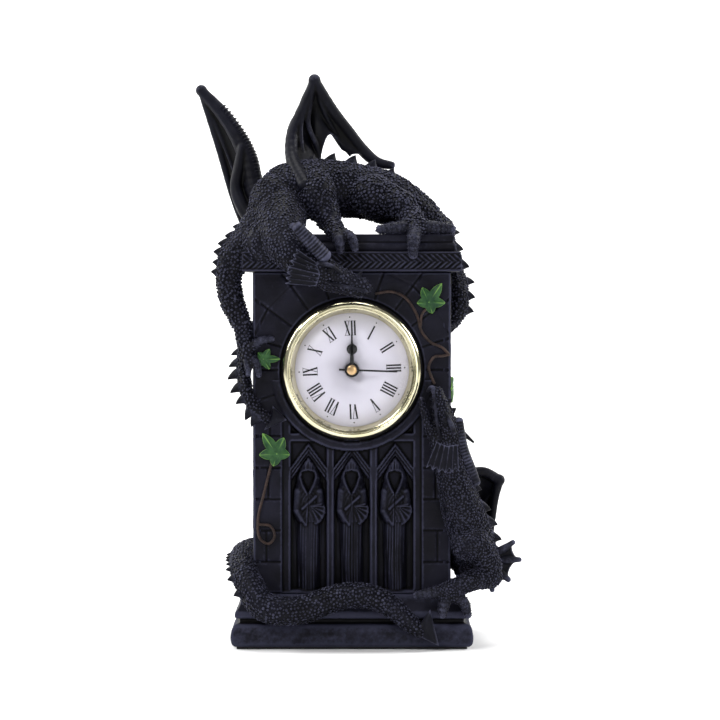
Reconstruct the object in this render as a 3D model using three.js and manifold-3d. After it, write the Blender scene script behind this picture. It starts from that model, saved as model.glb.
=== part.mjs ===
// A table clock shaped as a gothic tower with two dragons on it, in millimetres.
// +Z is up, the dial faces -Y, and the origin is the middle of the base's underside.
// The castings stand on a felt sheet. A quartz clock insert sits in a bore in the tower's front.

import * as THREE from "three";
import { mergeVertices } from "three/addons/utils/BufferGeometryUtils.js";
import Module from "manifold-3d";

const wasm = await Module();
wasm.setup();

// Clearances
const glueLine = 0.15; // a bonded joint between two castings
const touch = 0.3; // a sculpted piece against what carries it
const slip = 0.1; // a pressed or clipped piece in its seat
const running = 0.2; // round a turning shaft

// Base
const feltThickness = 0.8;
const feltInset = 2.5;
const plinthWidth = 96;
const plinthDepth = 68;
const plinthBulge = 1.6; // how far the block's face swells past its top edge
const blockHeight = 9;
const grooveHeight = 2.2;
const grooveInset = 3.6;
const stepInset = 1.6;
const stepHeight = 2.4;
const coveHeight = 6.6;
const coveInset = 2.8; // the cove's top edge, inside the step's

// Tower
const towerWidth = 78.5;
const towerDepth = 52;
const towerHeight = 127.5;
const quoinWidth = 10.2; // the stone column up each side of the front
const quoinCourse = 12.5;
const jointWidth = 0.8;
const jointDepth = 0.7;
const postWidth = 3.3;
const mullionWidth = 3;
const panelDepth = 1.5; // the window frame lies this far behind the columns
const nicheDepth = 5.5;
const nicheFloor = 1.2;
const nicheHeight = 58.4; // to the point of its arch
const archRise = 9.6;
const beamHeight = 3.2;
const dialDrop = 38.7; // from the tower's top to the dial's centre
const voussoirStep = 18; // degrees from one radial stone to the next
const voussoirReach = 42;

// Cornice
const corniceWidth = 87;
const corniceDepth = 61;
const corniceHeight = 7.8;
const torusWidth = 82.4;
const torusDepth = 57.6;
const torusHeight = 4;
const slabWidth = 81;
const slabDepth = 56.4;
const slabHeight = 3;

// Clock insert, along its own axis from the tower's front
const bezelRadius = 27.5;
const bezelRise = 4.6;
const seatRadius = 28.6;
const seatDepth = 1.6;
const seatRingWidth = 3.6; // the plain ring of stone round the seat
const boreRadius = 25.8;
const boreDepth = 25;
const dialRadius = 24.4;
const dialThickness = 0.4;
const lensThickness = 1;
const lensDome = 1.1;
const lensEdge = 3.3; // the underside of the lens at its rim
const sightRadius = 22.5; // what shows of the dial inside the reflector ring
const cupRadius = 23.9;
const cupWall = 0.9;
const cupDepth = 15;
const backThickness = 1.2;
const gripThickness = 1.5;
const gripWidth = 8;
const plateThickness = 0.8;
const plateLevel = -1.8; // the dial-side plate's inner face is here
const middleLevel = -7.5; // the middle plate's dial-side face
const bridgeLevel = -13.2;

// Hands
const hourHandLength = 13.2;
const minuteHandLength = 19.6;
const secondHandLength = 17.9;
const secondHandTail = 5.1;
const handSheet = 0.25;
const ballRadius = 2.1;
const ballPlace = 8.2;
const capRadius = 2;
const secondHandAngle = 92; // degrees clockwise from twelve, as the clock stands

// Wheels
const wheelThickness = 0.6;
const motionModule = 0.375; // minute pinion, reversing wheel, hour wheel and setting pinion
const thirdModule = 0.28;
const secondModule = 0.3;
const rotorModule = 0.25;
const arborRadius = 0.4;
const reverseDirection = -90; // degrees, seen from the front, from the centre arbor
const thirdDirection = 160;
const fifthDirection = 60;

// Battery and electrics
const batteryRadius = 5.8;
const batteryHeight = 5.4;
const batteryPlace = [-12, 8.2];
const contactSheet = 0.3;
const coilRadius = 2.4;
const coilLength = 12;
const coilPlace = [16.2, 2];
const knobRadius = 4.5;
const knobHeight = 2.8;

// Levels and planes that follow
const front = -towerDepth / 2;
const left = -towerWidth / 2;
const right = towerWidth / 2;
const back = towerDepth / 2;
const plinthBottom = feltThickness + glueLine;
const grooveBottom = plinthBottom + blockHeight;
const stepBottom = grooveBottom + grooveHeight;
const coveBottom = stepBottom + stepHeight;
const plinthTop = coveBottom + coveHeight;
const towerBottom = plinthTop + glueLine;
const towerTop = towerBottom + towerHeight;
const corniceBottom = towerTop + glueLine;
const torusBottom = corniceBottom + corniceHeight;
const slabBottom = torusBottom + torusHeight;
const top = slabBottom + slabHeight;
const dialHeight = towerTop - dialDrop;
const corniceFront = -corniceDepth / 2;
const slabFront = -slabDepth / 2;
const plinthFront = -plinthDepth / 2;

// Finishes
const material = (colour, roughness, metalness = 0) =>
  new THREE.MeshStandardMaterial({ color: colour, roughness, metalness });
const resin = material(0x23242e, 0.6);
const resinDry = material(0x2f3140, 0.62);
const leafGreen = material(0x2f7a38, 0.55);
const vineBrown = material(0x4a3630, 0.6);
const gilt = material(0xd9c98f, 0.25, 1);
const brass = material(0xc79a55, 0.3, 1);
const steel = material(0x9a9da2, 0.35, 1);
const copper = material(0xa4552b, 0.4, 1);
const glass = material(0xf4f7fa, 0.05);
const dialWhite = material(0xe9e7f0, 0.45);
const handBlack = material(0x101114, 0.4);
const plasticWhite = material(0xe4e2da, 0.5);
const plasticBlack = material(0x17181a, 0.5);
const boardGreen = material(0x1f5b36, 0.5);
const rubber = material(0x1b1b1c, 0.85);
const felt = material(0x141417, 0.95);

const radians = THREE.MathUtils.degToRad;
const root = new THREE.Group();

// Solids

function solidOf(geometry) {
  const loose = geometry.index ? geometry.toNonIndexed() : geometry;
  const bare = new THREE.BufferGeometry();
  bare.setAttribute("position", loose.getAttribute("position"));
  const merged = mergeVertices(bare, 1e-4);
  const solid = new wasm.Manifold(
    new wasm.Mesh({
      numProp: 3,
      vertProperties: merged.attributes.position.array,
      triVerts: new Uint32Array(merged.index.array),
    }),
  );
  return solid;
}

function geometryOf(solid) {
  const mesh = solid.getMesh();
  const geometry = new THREE.BufferGeometry();
  geometry.setAttribute("position", new THREE.BufferAttribute(Float32Array.from(mesh.vertProperties), 3));
  geometry.setIndex(new THREE.BufferAttribute(Uint32Array.from(mesh.triVerts), 1));
  return geometry;
}

const fuse = (geometries) =>
  geometryOf(geometries.map(solidOf).reduce((whole, solid) => whole.add(solid)));

const carve = (geometry, cutters) =>
  geometryOf(cutters.map(solidOf).reduce((whole, solid) => whole.subtract(solid), solidOf(geometry)));

const keepInside = (geometry, limit) => geometryOf(solidOf(geometry).intersect(solidOf(limit)));

// A box between two corners.
function box(low, high) {
  const size = high.map((value, axis) => value - low[axis]);
  const middle = high.map((value, axis) => (value + low[axis]) / 2);
  return new THREE.BoxGeometry(...size).translate(...middle);
}

// A block centred on the clock's axis of symmetry, between two heights.
const block = (width, depth, bottom, height) =>
  box([-width / 2, -depth / 2, bottom], [width / 2, depth / 2, bottom + height]);

// A body turned about Z, from a closed profile of [radius, height] points.
function turned(profile, segments = 32) {
  const area = profile.reduce((sum, [r, z], i) => {
    const [nextR, nextZ] = profile[(i + 1) % profile.length];
    return sum + r * nextZ - nextR * z;
  }, 0);
  const ordered = area > 0 ? profile : [...profile].reverse();
  const onAxis = ordered.findIndex(([r], i) => r === 0 && ordered[(i + 1) % ordered.length][0] !== 0);
  const start = Math.max(onAxis, 0);
  const loop = [...ordered.slice(start), ...ordered.slice(0, start)];
  if (onAxis < 0) loop.push(loop[0]);
  const points = loop.map(([r, z]) => new THREE.Vector2(r, z));
  return new THREE.LatheGeometry(points, segments).rotateX(Math.PI / 2);
}

// A round bar or disc about Z, from one height to another.
const bar = (radius, low, high, segments = 12) =>
  turned([[0, low], [radius, low], [radius, high], [0, high]], segments);

const pipe = (radius, bore, low, high, segments = 12) =>
  turned([[bore, low], [radius, low], [radius, high], [bore, high]], segments);

// A flat outline of [x, y] points, thickened along Z between two heights, with any round holes.
function plate(outline, low, high, holes = []) {
  const shape = new THREE.Shape(outline.map(([x, y]) => new THREE.Vector2(x, y)));
  for (const [x, y, radius] of holes) shape.holes.push(new THREE.Path().absarc(x, y, radius, 0, 2 * Math.PI));
  return new THREE.ExtrudeGeometry(shape, { depth: high - low, bevelEnabled: false, curveSegments: 6 })
    .translate(0, 0, low);
}

// Turns an outline drawn in x and height into a slab facing -Y, from one depth to another.
const relief = (outline, nearY, farY) =>
  plate(outline, 0, farY - nearY).rotateX(Math.PI / 2).translate(0, farY, 0);

// Places and sizes along a limb: each joint is [x, y, z, radius, radius in the other direction].
function limbRings(joints, stepsPerJoint, grow) {
  const path = new THREE.CatmullRomCurve3(joints.map(([x, y, z]) => new THREE.Vector3(x, y, z)));
  const girth = new THREE.CatmullRomCurve3(joints.map(([, , , r, s = r]) => new THREE.Vector3(r, s, 0)));
  const count = (joints.length - 1) * stepsPerJoint;
  let across = new THREE.Vector3(0, 1, 0);
  const rings = [];
  for (let i = 0; i <= count; i++) {
    const along = path.getTangent(i / count);
    if (Math.abs(along.dot(across)) > 0.95) across = new THREE.Vector3(0, 0, 1);
    across = across.clone().addScaledVector(along, -along.dot(across)).normalize();
    const size = girth.getPoint(i / count);
    const side = new THREE.Vector3().crossVectors(across, along);
    rings.push({ at: path.getPoint(i / count), along, across, side, r: size.x + grow, s: size.y + grow });
  }
  return rings;
}

// A limb: oval rings strung on a smooth curve through its joints, closed by a dome at each end.
function limb(joints, { sides = 8, steps = 2, grow = 0 } = {}) {
  const rings = limbRings(joints, steps, grow);
  const shoulder = 0.7; // a ring this much narrower starts each dome
  const capped = (ring, sign) => ({
    ...ring,
    at: ring.at.clone().addScaledVector(ring.along, sign * 0.5 * ring.r),
    r: ring.r * shoulder,
    s: ring.s * shoulder,
  });
  const first = rings[0];
  const last = rings.at(-1);
  const all = [capped(first, -1), ...rings, capped(last, 1)];
  const positions = [];
  for (const ring of all)
    for (let k = 0; k < sides; k++) {
      const turn = (2 * Math.PI * k) / sides;
      const point = ring.at
        .clone()
        .addScaledVector(ring.side, ring.r * Math.cos(turn))
        .addScaledVector(ring.across, ring.s * Math.sin(turn));
      positions.push(...point);
    }
  const nose = first.at.clone().addScaledVector(first.along, -0.75 * first.r);
  const tip = last.at.clone().addScaledVector(last.along, 0.75 * last.r);
  positions.push(...nose, ...tip);
  const index = [];
  for (let i = 0; i + 1 < all.length; i++)
    for (let k = 0; k < sides; k++) {
      const next = (k + 1) % sides;
      const [a, b, c, d] = [i * sides + k, i * sides + next, (i + 1) * sides + next, (i + 1) * sides + k];
      index.push(a, b, c, a, c, d);
    }
  const end = (all.length - 1) * sides;
  const nosePoint = all.length * sides;
  for (let k = 0; k < sides; k++) {
    const next = (k + 1) % sides;
    index.push(nosePoint, next, k);
    index.push(nosePoint + 1, end + k, end + next);
  }
  const geometry = new THREE.BufferGeometry();
  geometry.setAttribute("position", new THREE.Float32BufferAttribute(positions, 3));
  geometry.setIndex(index);
  return geometry;
}

// A pointed cone with a few sides, from the middle of its foot to its point.
function spike(foot, point, radius, sides = 4) {
  const from = new THREE.Vector3(...foot);
  const reach = new THREE.Vector3(...point).sub(from);
  const up = new THREE.Vector3(0, 1, 0);
  const turn = new THREE.Quaternion().setFromUnitVectors(up, reach.clone().normalize());
  return new THREE.ConeGeometry(radius, reach.length(), sides)
    .translate(0, reach.length() / 2, 0)
    .applyQuaternion(turn)
    .translate(...from);
}

// A round lump of muscle: its middle, then its half sizes along X, Y and Z.
const muscle = ([x, y, z, rx, ry, rz], grow = 0) =>
  new THREE.IcosahedronGeometry(1, 2).scale(rx + grow, ry + grow, rz + grow).translate(x, y, z);

// Spikes along a limb's back, leaning the way that `lean` points.
function spineRow(joints, { from = 0, to = 1, count, height, lean, width = 0.56 }) {
  const path = new THREE.CatmullRomCurve3(joints.map(([x, y, z]) => new THREE.Vector3(x, y, z)));
  const girth = new THREE.CatmullRomCurve3(joints.map(([, , , r]) => new THREE.Vector3(r, 0, 0)));
  const spines = [];
  for (let i = 0; i < count; i++) {
    const t = from + ((to - from) * i) / Math.max(count - 1, 1);
    const at = path.getPoint(t);
    const out = lean(at).normalize();
    const radius = girth.getPoint(t).x;
    const foot = at.clone().addScaledVector(out, radius * 0.7);
    const point = at.clone().addScaledVector(out, radius + height);
    spines.push(spike(foot, point, height * width + 0.4));
  }
  return spines;
}

const edgeRoundness = 0.7; // below one, the dips of a wing's free edge are rounder than a sine's

// How far a bone that bends lies off the straight line between its ends, at a share of its length.
function bow(points) {
  const path = new THREE.CatmullRomCurve3(points.map((point) => new THREE.Vector3(...point)));
  const [start, end] = [path.getPoint(0), path.getPoint(1)];
  return (share) => path.getPointAt(share).sub(start.clone().lerp(end, share));
}

// A wing: a skin stretched from its wrist between a leading bone and a trailing one, whose bends it
// follows. Its free edge runs by the fingers' ends and dips between them.
function wingSkin(lead, fingers, trail, { dips, thickness = 1.2, across = 3, outward = 6 }) {
  const [leadBow, trailBow] = [bow(lead), bow(trail)];
  const tip = new THREE.Vector3(...lead[0]);
  const ends = fingers.map((finger) => new THREE.Vector3(...finger));
  const edge = [];
  for (let i = 0; i + 1 < ends.length; i++)
    for (let k = i ? 1 : 0; k <= across; k++) {
      const t = k / across;
      const end = ends[i].clone().lerp(ends[i + 1], t);
      edge.push(tip.clone().lerp(end, 1 - dips[i] * Math.sin(Math.PI * t) ** edgeRoundness));
    }
  const normal = new THREE.Vector3()
    .crossVectors(ends[0].clone().sub(tip), ends.at(-1).clone().sub(tip))
    .normalize()
    .multiplyScalar(thickness / 2);
  const start = 0.06;
  const rows = [];
  for (const sign of [1, -1]) {
    const sheet = [];
    edge.forEach((end, i) => {
      const turn = i / (edge.length - 1);
      for (let j = 0; j <= outward; j++) {
        const t = start + ((1 - start) * j) / outward;
        const taper = 1 - 0.55 * t;
        const point = tip.clone().lerp(end, t);
        point.addScaledVector(leadBow(t), (1 - turn) ** 2).addScaledVector(trailBow(t), turn ** 2);
        sheet.push(point.addScaledVector(normal, sign * taper));
      }
    });
    rows.push(sheet);
  }
  const stride = outward + 1;
  const under = edge.length * stride;
  const index = [];
  const quad = (a, b, c, d) => index.push(a, b, c, a, c, d);
  for (let i = 0; i + 1 < edge.length; i++)
    for (let j = 0; j < outward; j++) {
      const a = i * stride + j;
      quad(a, a + 1, a + stride + 1, a + stride);
      quad(under + a, under + a + stride, under + a + stride + 1, under + a + 1);
    }
  for (let i = 0; i + 1 < edge.length; i++) {
    const near = i * stride;
    const far = near + outward;
    quad(near + stride, under + near + stride, under + near, near);
    quad(far, under + far, under + far + stride, far + stride);
  }
  const lastRow = (edge.length - 1) * stride;
  for (let j = 0; j < outward; j++) {
    quad(j, under + j, under + j + 1, j + 1);
    quad(lastRow + j + 1, under + lastRow + j + 1, under + lastRow + j, lastRow + j);
  }
  const geometry = new THREE.BufferGeometry();
  geometry.setAttribute("position", new THREE.Float32BufferAttribute(rows.flat().flatMap((p) => [...p]), 3));
  geometry.setIndex(index);
  return geometry;
}

// Adds a named piece in its material to a group.
function piece(name, geometry, finish, parent = root) {
  const mesh = new THREE.Mesh(geometry, finish);
  mesh.name = name;
  parent.add(mesh);
  return mesh;
}

// The tower, its base and its cornice

// A square moulding: a profile of [inset, height] points carried round a rectangle.
function moulding(width, depth, profile) {
  const corner = (inset) => [width / 2 - inset, depth / 2 - inset];
  const positions = [];
  for (const [inset, height] of profile) {
    const [x, y] = corner(inset);
    positions.push(-x, -y, height, x, -y, height, x, y, height, -x, y, height);
  }
  const index = [0, 2, 1, 0, 3, 2];
  for (let i = 0; i + 1 < profile.length; i++)
    for (let k = 0; k < 4; k++) {
      const next = (k + 1) % 4;
      const [a, b, c, d] = [i * 4 + k, i * 4 + next, (i + 1) * 4 + next, (i + 1) * 4 + k];
      index.push(a, b, c, a, c, d);
    }
  const end = (profile.length - 1) * 4;
  index.push(end, end + 1, end + 2, end, end + 2, end + 3);
  const geometry = new THREE.BufferGeometry();
  geometry.setAttribute("position", new THREE.Float32BufferAttribute(positions, 3));
  geometry.setIndex(index);
  return geometry;
}

function plinth() {
  const coveTop = stepInset + coveInset;
  return moulding(plinthWidth, plinthDepth, [
    [plinthBulge, plinthBottom],
    [0.3, plinthBottom + blockHeight * 0.2],
    [0, plinthBottom + blockHeight * 0.42],
    [0.4, plinthBottom + blockHeight * 0.75],
    [plinthBulge, grooveBottom],
    [grooveInset, grooveBottom],
    [grooveInset, stepBottom],
    [stepInset, stepBottom],
    [stepInset, coveBottom],
    [stepInset + coveInset * 0.62, coveBottom + coveHeight * 0.3],
    [coveTop - 0.2, coveBottom + coveHeight * 0.7],
    [coveTop, plinthTop],
  ]);
}

// A pointed niche's outline, in x and height.
function nicheOutline(middle, width, bottom, height, rise) {
  const half = width / 2;
  return [
    [middle - half, bottom],
    [middle + half, bottom],
    [middle + half, bottom + height - rise],
    [middle, bottom + height],
    [middle - half, bottom + height - rise],
  ];
}

const windowHalf = towerWidth / 2 - quoinWidth - 1.4; // the window frame's outer edge
const nicheWidth = (2 * (windowHalf - postWidth) - 2 * mullionWidth) / 3;
const nichePitch = nicheWidth + mullionWidth;
const niches = [-nichePitch, 0, nichePitch];
const nicheBottom = towerBottom + nicheFloor;
const beamBottom = nicheBottom + nicheHeight + 0.8;
const panelFace = front + panelDepth;

// A hooded figure in relief: a robe, folded arms, sleeves and a hood with nothing but shadow in it.
function monk(middle) {
  const foot = nicheBottom;
  const face = front + nicheDepth * 0.62;
  const robe = limb(
    [
      [middle, face + 0.4, foot + 2.6, 3.9, 2.6],
      [middle, face + 0.4, foot + 18, 3.3, 2.4],
      [middle, face + 0.4, foot + 31, 4.6, 2.6],
      [middle, face + 0.4, foot + 40, 5.2, 2.7],
      [middle, face + 0.4, foot + 46, 3.2, 2.4],
    ],
    { sides: 8, steps: 1 },
  );
  const hood = limb(
    [
      [middle, face + 0.3, foot + 44, 3.6, 2.6],
      [middle, face, foot + 48, 3.7, 3],
      [middle, face + 0.5, foot + 52, 1.6, 1.6],
    ],
    { sides: 8, steps: 1 },
  );
  const cowl = spike([middle, face - 3.6, foot + 45.6], [middle, face + 0.6, foot + 47.4], 2.6, 6);
  const sleeves = [-1, 1].map((side) =>
    limb(
      [
        [middle + side * 4.6, face + 0.3, foot + 41, 1.9],
        [middle + side * 5, face - 0.7, foot + 34, 2],
        [middle - side * 0.8, face - 1.6, foot + 32.4, 1.5],
      ],
      { sides: 5, steps: 1 },
    ),
  );
  return carve(fuse([robe, hood, ...sleeves]), [cowl]);
}

function quoinJoints() {
  const cuts = [];
  for (let height = towerBottom + quoinCourse; height < towerTop - 4; height += quoinCourse) {
    const [low, high] = [height - jointWidth / 2, height + jointWidth / 2];
    cuts.push(box([left - 1, back - jointDepth, low], [right + 1, back + 1, high]));
    for (const side of [-1, 1]) {
      const outer = side * (towerWidth / 2 + 1);
      const inner = side * (towerWidth / 2 - quoinWidth);
      const face = side * (towerWidth / 2 - jointDepth);
      const onFront = [Math.min(outer, inner), front - 1, low];
      cuts.push(box(onFront, [Math.max(outer, inner), front + jointDepth, high]));
      const onSide = [Math.min(outer, face), front + jointDepth, low];
      cuts.push(box(onSide, [Math.max(outer, face), back - jointDepth, high]));
    }
  }
  return cuts;
}

// The joints between the wedge-shaped stones round the dial.
function voussoirJoints() {
  const cuts = [];
  for (let angle = -90; angle <= 90; angle += voussoirStep) {
    const joint = box(
      [-jointWidth / 2, front - 1, seatRadius - 1],
      [jointWidth / 2, front + jointDepth, voussoirReach],
    );
    cuts.push(joint.rotateY(radians(angle)).translate(0, 0, dialHeight));
  }
  const wall = box([left - 1, front - 2, 0], [right + 1, front + 2, towerTop - 1]);
  return cuts.map((cut) => keepInside(cut, wall));
}

function tower() {
  const shaft = block(towerWidth, towerDepth, towerBottom, towerHeight);
  const panel = box([-windowHalf, front - 1, towerBottom + 0.6], [windowHalf, panelFace, dialHeight - 18]);
  const seatRing = bar(seatRadius + seatRingWidth, -1, panelDepth + 2, 32)
    .rotateX(Math.PI / 2)
    .translate(0, front + panelDepth + 1, dialHeight);
  const seat = bar(seatRadius, -seatDepth, 1, 32).rotateX(Math.PI / 2).translate(0, front, dialHeight);
  const bore = bar(boreRadius, -boreDepth, 1, 32).rotateX(Math.PI / 2).translate(0, front, dialHeight);
  const nicheCuts = niches.map((middle) =>
    relief(
      nicheOutline(middle, nicheWidth, nicheBottom, nicheHeight, archRise),
      panelFace - 1,
      front + nicheDepth,
    ),
  );
  const spandrels = [-1, 1].map((side) => {
    const inner = side * (windowHalf - postWidth);
    const outline = [
      [inner, beamBottom + beamHeight],
      [inner, beamBottom + beamHeight + 8],
      [inner - side * 12, beamBottom + beamHeight],
    ];
    return relief(side > 0 ? outline : outline.reverse(), panelFace - 1, front + nicheDepth * 0.7);
  });
  const framed = carve(shaft, [carve(panel, [seatRing]), seat, bore]);
  const jointed = carve(framed, [...nicheCuts, ...spandrels, ...quoinJoints(), ...voussoirJoints()]);
  return fuse([jointed, ...niches.map(monk)]);
}

function cornice() {
  const band = block(corniceWidth, corniceDepth, corniceBottom, corniceHeight);
  const rise = corniceBottom + corniceHeight;
  const torus = moulding(torusWidth, torusDepth, [
    [0.9, rise - 0.5],
    [0, rise + torusHeight * 0.3],
    [0, rise + torusHeight * 0.7],
    [0.9, slabBottom],
  ]);
  const slab = block(slabWidth, slabDepth, slabBottom - 0.5, slabHeight + 0.5);
  const braidPitch = 4.6;
  const braid = [];
  for (let x = -corniceWidth / 2 + braidPitch; x < corniceWidth / 2 - 1; x += braidPitch)
    braid.push(
      box([-0.35, corniceFront - 1, -corniceHeight * 0.36], [0.35, corniceFront + 0.5, corniceHeight * 0.36])
        .rotateY(radians(35))
        .translate(x, 0, corniceBottom + corniceHeight / 2),
    );
  return carve(fuse([band, torus, slab]), braid);
}

// What the dragons lie against, each grown by the clearance, so that they can be cut to fit it
const grownBlock = (width, depth, bottom, height) =>
  block(width + 2 * touch, depth + 2 * touch, bottom - touch, height + 2 * touch);
const masonry = fuse([
  block(plinthWidth + 2 * touch, plinthDepth + 2 * touch, 0, grooveBottom + touch),
  grownBlock(plinthWidth - 2 * stepInset, plinthDepth - 2 * stepInset, stepBottom, stepHeight),
  moulding(plinthWidth, plinthDepth, [
    [stepInset - touch, coveBottom],
    [stepInset - touch, coveBottom + touch],
    [stepInset + coveInset * 0.62 - touch, coveBottom + coveHeight * 0.3 + touch],
    [stepInset + coveInset - touch, coveBottom + coveHeight * 0.7 + touch],
    [stepInset + coveInset - touch, plinthTop + touch],
  ]),
  grownBlock(towerWidth, towerDepth, plinthTop, towerHeight + 1),
  grownBlock(corniceWidth, corniceDepth, corniceBottom, corniceHeight),
  grownBlock(torusWidth, torusDepth, torusBottom - 1, torusHeight + 1),
  grownBlock(slabWidth, slabDepth, slabBottom - 1, slabHeight + 1),
]);

// The upper dragon lies on the cornice with its chest over the left corner

const upperTorso = [
  [left + 6, -11, top + 11, 8, 8],
  [left + 13, -9, top + 16.5, 12, 12],
  [left + 25, -3, top + 19, 12, 12],
  [0, 1, top + 18.4, 11.2, 11.5],
  [right - 25, 2, top + 15.6, 10.2, 12],
  [right - 12.5, 2, top + 9.2, 8, 9.4],
  [right - 4, 3, top + 3.4, 5.2, 6.2],
];
const upperNeck = [
  [left + 11, -18, top + 10, 10.5, 9.5],
  [left + 11.5, slabFront, top + 2, 9.8, 8.6],
  [left + 14.5, corniceFront - 4, top - 5.6, 8.4, 7.4],
  [left + 20, corniceFront - 6.6, top - 11, 7, 6.2],
];
const upperSkull = [
  [left + 21, corniceFront - 7, top - 12.4, 6.8, 6],
  [left + 28.5, corniceFront - 7.4, top - 15.2, 6, 5.2],
  [left + 35.5, corniceFront - 6.6, top - 18, 4.6, 4.4],
  [left + 42, corniceFront - 6, top - 20.2, 3.5, 3.3],
  [left + 45.4, corniceFront - 5.6, top - 21.4, 2.4, 2.4],
];
const upperJaw = [
  [left + 28, corniceFront - 6.4, top - 19.4, 2.8, 3],
  [left + 36, corniceFront - 6, top - 22.2, 1.8, 2.3],
  [left + 43, corniceFront - 5.6, top - 24.6, 1.1, 1.5],
];
const upperLeftArm = [
  [left + 5, -16, top + 6, 8.6, 8.4],
  [left - 1, -20.5, top - 2.4, 7.6, 7],
  [left - 7.4, -21, top - 9, 6.2, 6],
  [left - 9.6, -21.5, top - 17, 5.2, 5.2],
  [left - 8.4, -23, top - 26, 5, 4.7],
  [left - 4, front + 1.2, top - 37, 3.9, 3.8],
  [left - 2.6, front - 0.6, top - 47, 2.8, 2.8],
];
const upperRightArm = [
  [left + 24, -13, top + 17, 8, 7.5],
  [left + 28.4, -18.5, top + 10, 5.8, 5.6],
  [left + 31, -22, top + 4.4, 4.4, 4.4],
  [left + 33, slabFront + 0.5, top + 0.9, 3.8, 3.6],
];
const upperHindLeg = [
  [right - 31, -8, top + 15.5, 9, 7],
  [right - 21, -14, top + 12.4, 6, 5.6],
  [right - 16, -18.4, top + 7, 4.9, 4.8],
  [right - 14, slabFront + 4.6, top + 3.6, 4.1, 4],
];
const upperFarLeg = [
  [right - 29, 10, top + 14, 8.6, 7],
  [right - 22, 15, top + 9.5, 6, 5.6],
  [right - 15, -slabFront - 8.5, top + 4, 4, 4],
];

// Shoulders, the chest over the corner, elbows, thigh, knee and cheek
const upperMuscles = [
  [left + 8, -16, top + 12, 10, 9, 12],
  [left + 5, -25, top - 4, 9.5, 9, 10],
  [left + 25.5, -17, top + 15.5, 7.4, 8, 10.4],
  [left + 29.6, -20.6, top + 6.4, 5, 4.8, 5.4],
  [left - 7.6, -21, top - 10, 6.8, 6.2, 6.8],
  [right - 31, -9.5, top + 15.6, 9.5, 9, 8.6],
  [right - 19, -16, top + 12, 5.6, 5.4, 5.6],
  [left + 24.4, corniceFront - 8, top - 15, 5, 4.8, 6],
];

// A toe: short, thick and tapering, ending in a blunt claw.
const toe = (points, radius) =>
  limb(
    points.map((point, i) => [...point, radius * (1 - (0.45 * i) / (points.length - 1))]),
    { sides: 6, steps: 1 },
  );

function upperToes() {
  const paw = [left + 33, slabFront, top + 0.6];
  const foot = [right - 14, slabFront + 3.4, top + 2.8];
  const hand = [left - 2.6, front - 1.6, top - 46];
  return [
    toe([paw, [left + 34.4, corniceFront - 2.4, top - 3], [left + 34.8, corniceFront - 2, top - 7]], 2.8),
    toe([paw, [left + 38.8, corniceFront - 1.4, top - 1.4], [left + 40.6, corniceFront - 1.8, top - 6]], 2.7),
    toe([foot, [right - 22, slabFront + 1.2, top + 2.4], [right - 28.5, slabFront + 1.4, top + 1.8]], 3.2),
    toe([foot, [right - 15, corniceFront - 2, top - 2.4], [right - 15.2, corniceFront - 2, top - 8.6]], 3.2),
    toe([foot, [right - 6, slabFront + 2.4, top + 2.6], [right + 0.6, slabFront + 2.8, top + 2]], 3.2),
    toe([[right - 15, -slabFront - 8, top + 3], [right - 13, -slabFront - 2, top + 1.8]], 2.9),
    toe([hand, [left + 3.4, front - 2.2, top - 42], [left + 8, front - 1.6, top - 41.4]], 2.1),
    toe([hand, [left + 1.4, front - 2.2, top - 51], [left + 2.6, front - 1.8, top - 56]], 2.1),
    toe([hand, [left - 1.8, front - 2, top - 51], [left - 1.6, front - 1.6, top - 55.5]], 2),
  ];
}

function upperHeadDressing() {
  const horn = (dx, dy) =>
    limb(
      [
        [left + 28.6 + dx, corniceFront - 10.4 + dy, top - 9, 2.9],
        [left + 23.4 + dx, corniceFront - 11.6 + dy, top - 3.4, 2.8],
        [left + 18 + dx, corniceFront - 12.4 + dy, top + 2.4, 2.1],
      ],
      { sides: 8 },
    );
  const frill = relief(
    [
      [left + 13.6, top - 18.8],
      [left + 23, top - 20],
      [left + 26, top - 12],
      [left + 18.8, top - 5.4],
      [left + 17.2, top - 9.2],
      [left + 15.4, top - 12.4],
      [left + 16, top - 15.4],
    ],
    corniceFront - 10.4,
    corniceFront - 8.6,
  );
  const noseHorn = spike(
    [left + 41.4, corniceFront - 7, top - 18.6],
    [left + 43, corniceFront - 8.2, top - 14.4],
    1.3,
  );
  return [horn(0, 0), horn(-2.4, 7), frill, noseHorn];
}

const upward = () => new THREE.Vector3(0, -0.1, 1);
const outLeft = () => new THREE.Vector3(-1, 0, 0.55);
const outRight = () => new THREE.Vector3(1, 0, 0.2);

function upperBody() {
  const spines = [
    ...spineRow(upperTorso, { from: 0.3, to: 0.68, count: 5, height: 3.2, lean: upward }),
    ...spineRow(upperTorso, { from: 0.76, to: 0.98, count: 4, height: 1.6, lean: upward }),
    ...spineRow(upperLeftArm, { from: 0.2, to: 0.48, count: 4, height: 2.2, lean: outLeft }),
  ];
  const limbs = [upperTorso, upperNeck, upperSkull, upperJaw].map((joints) => limb(joints, { sides: 10 }));
  const legs = [upperLeftArm, upperRightArm, upperHindLeg, upperFarLeg].map((joints) => limb(joints));
  const lumps = upperMuscles.map((lump) => muscle(lump));
  const parts = [...limbs, ...legs, ...lumps, ...upperToes(), ...upperHeadDressing(), ...spines];
  return carve(fuse(parts), [masonry]);
}

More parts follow.
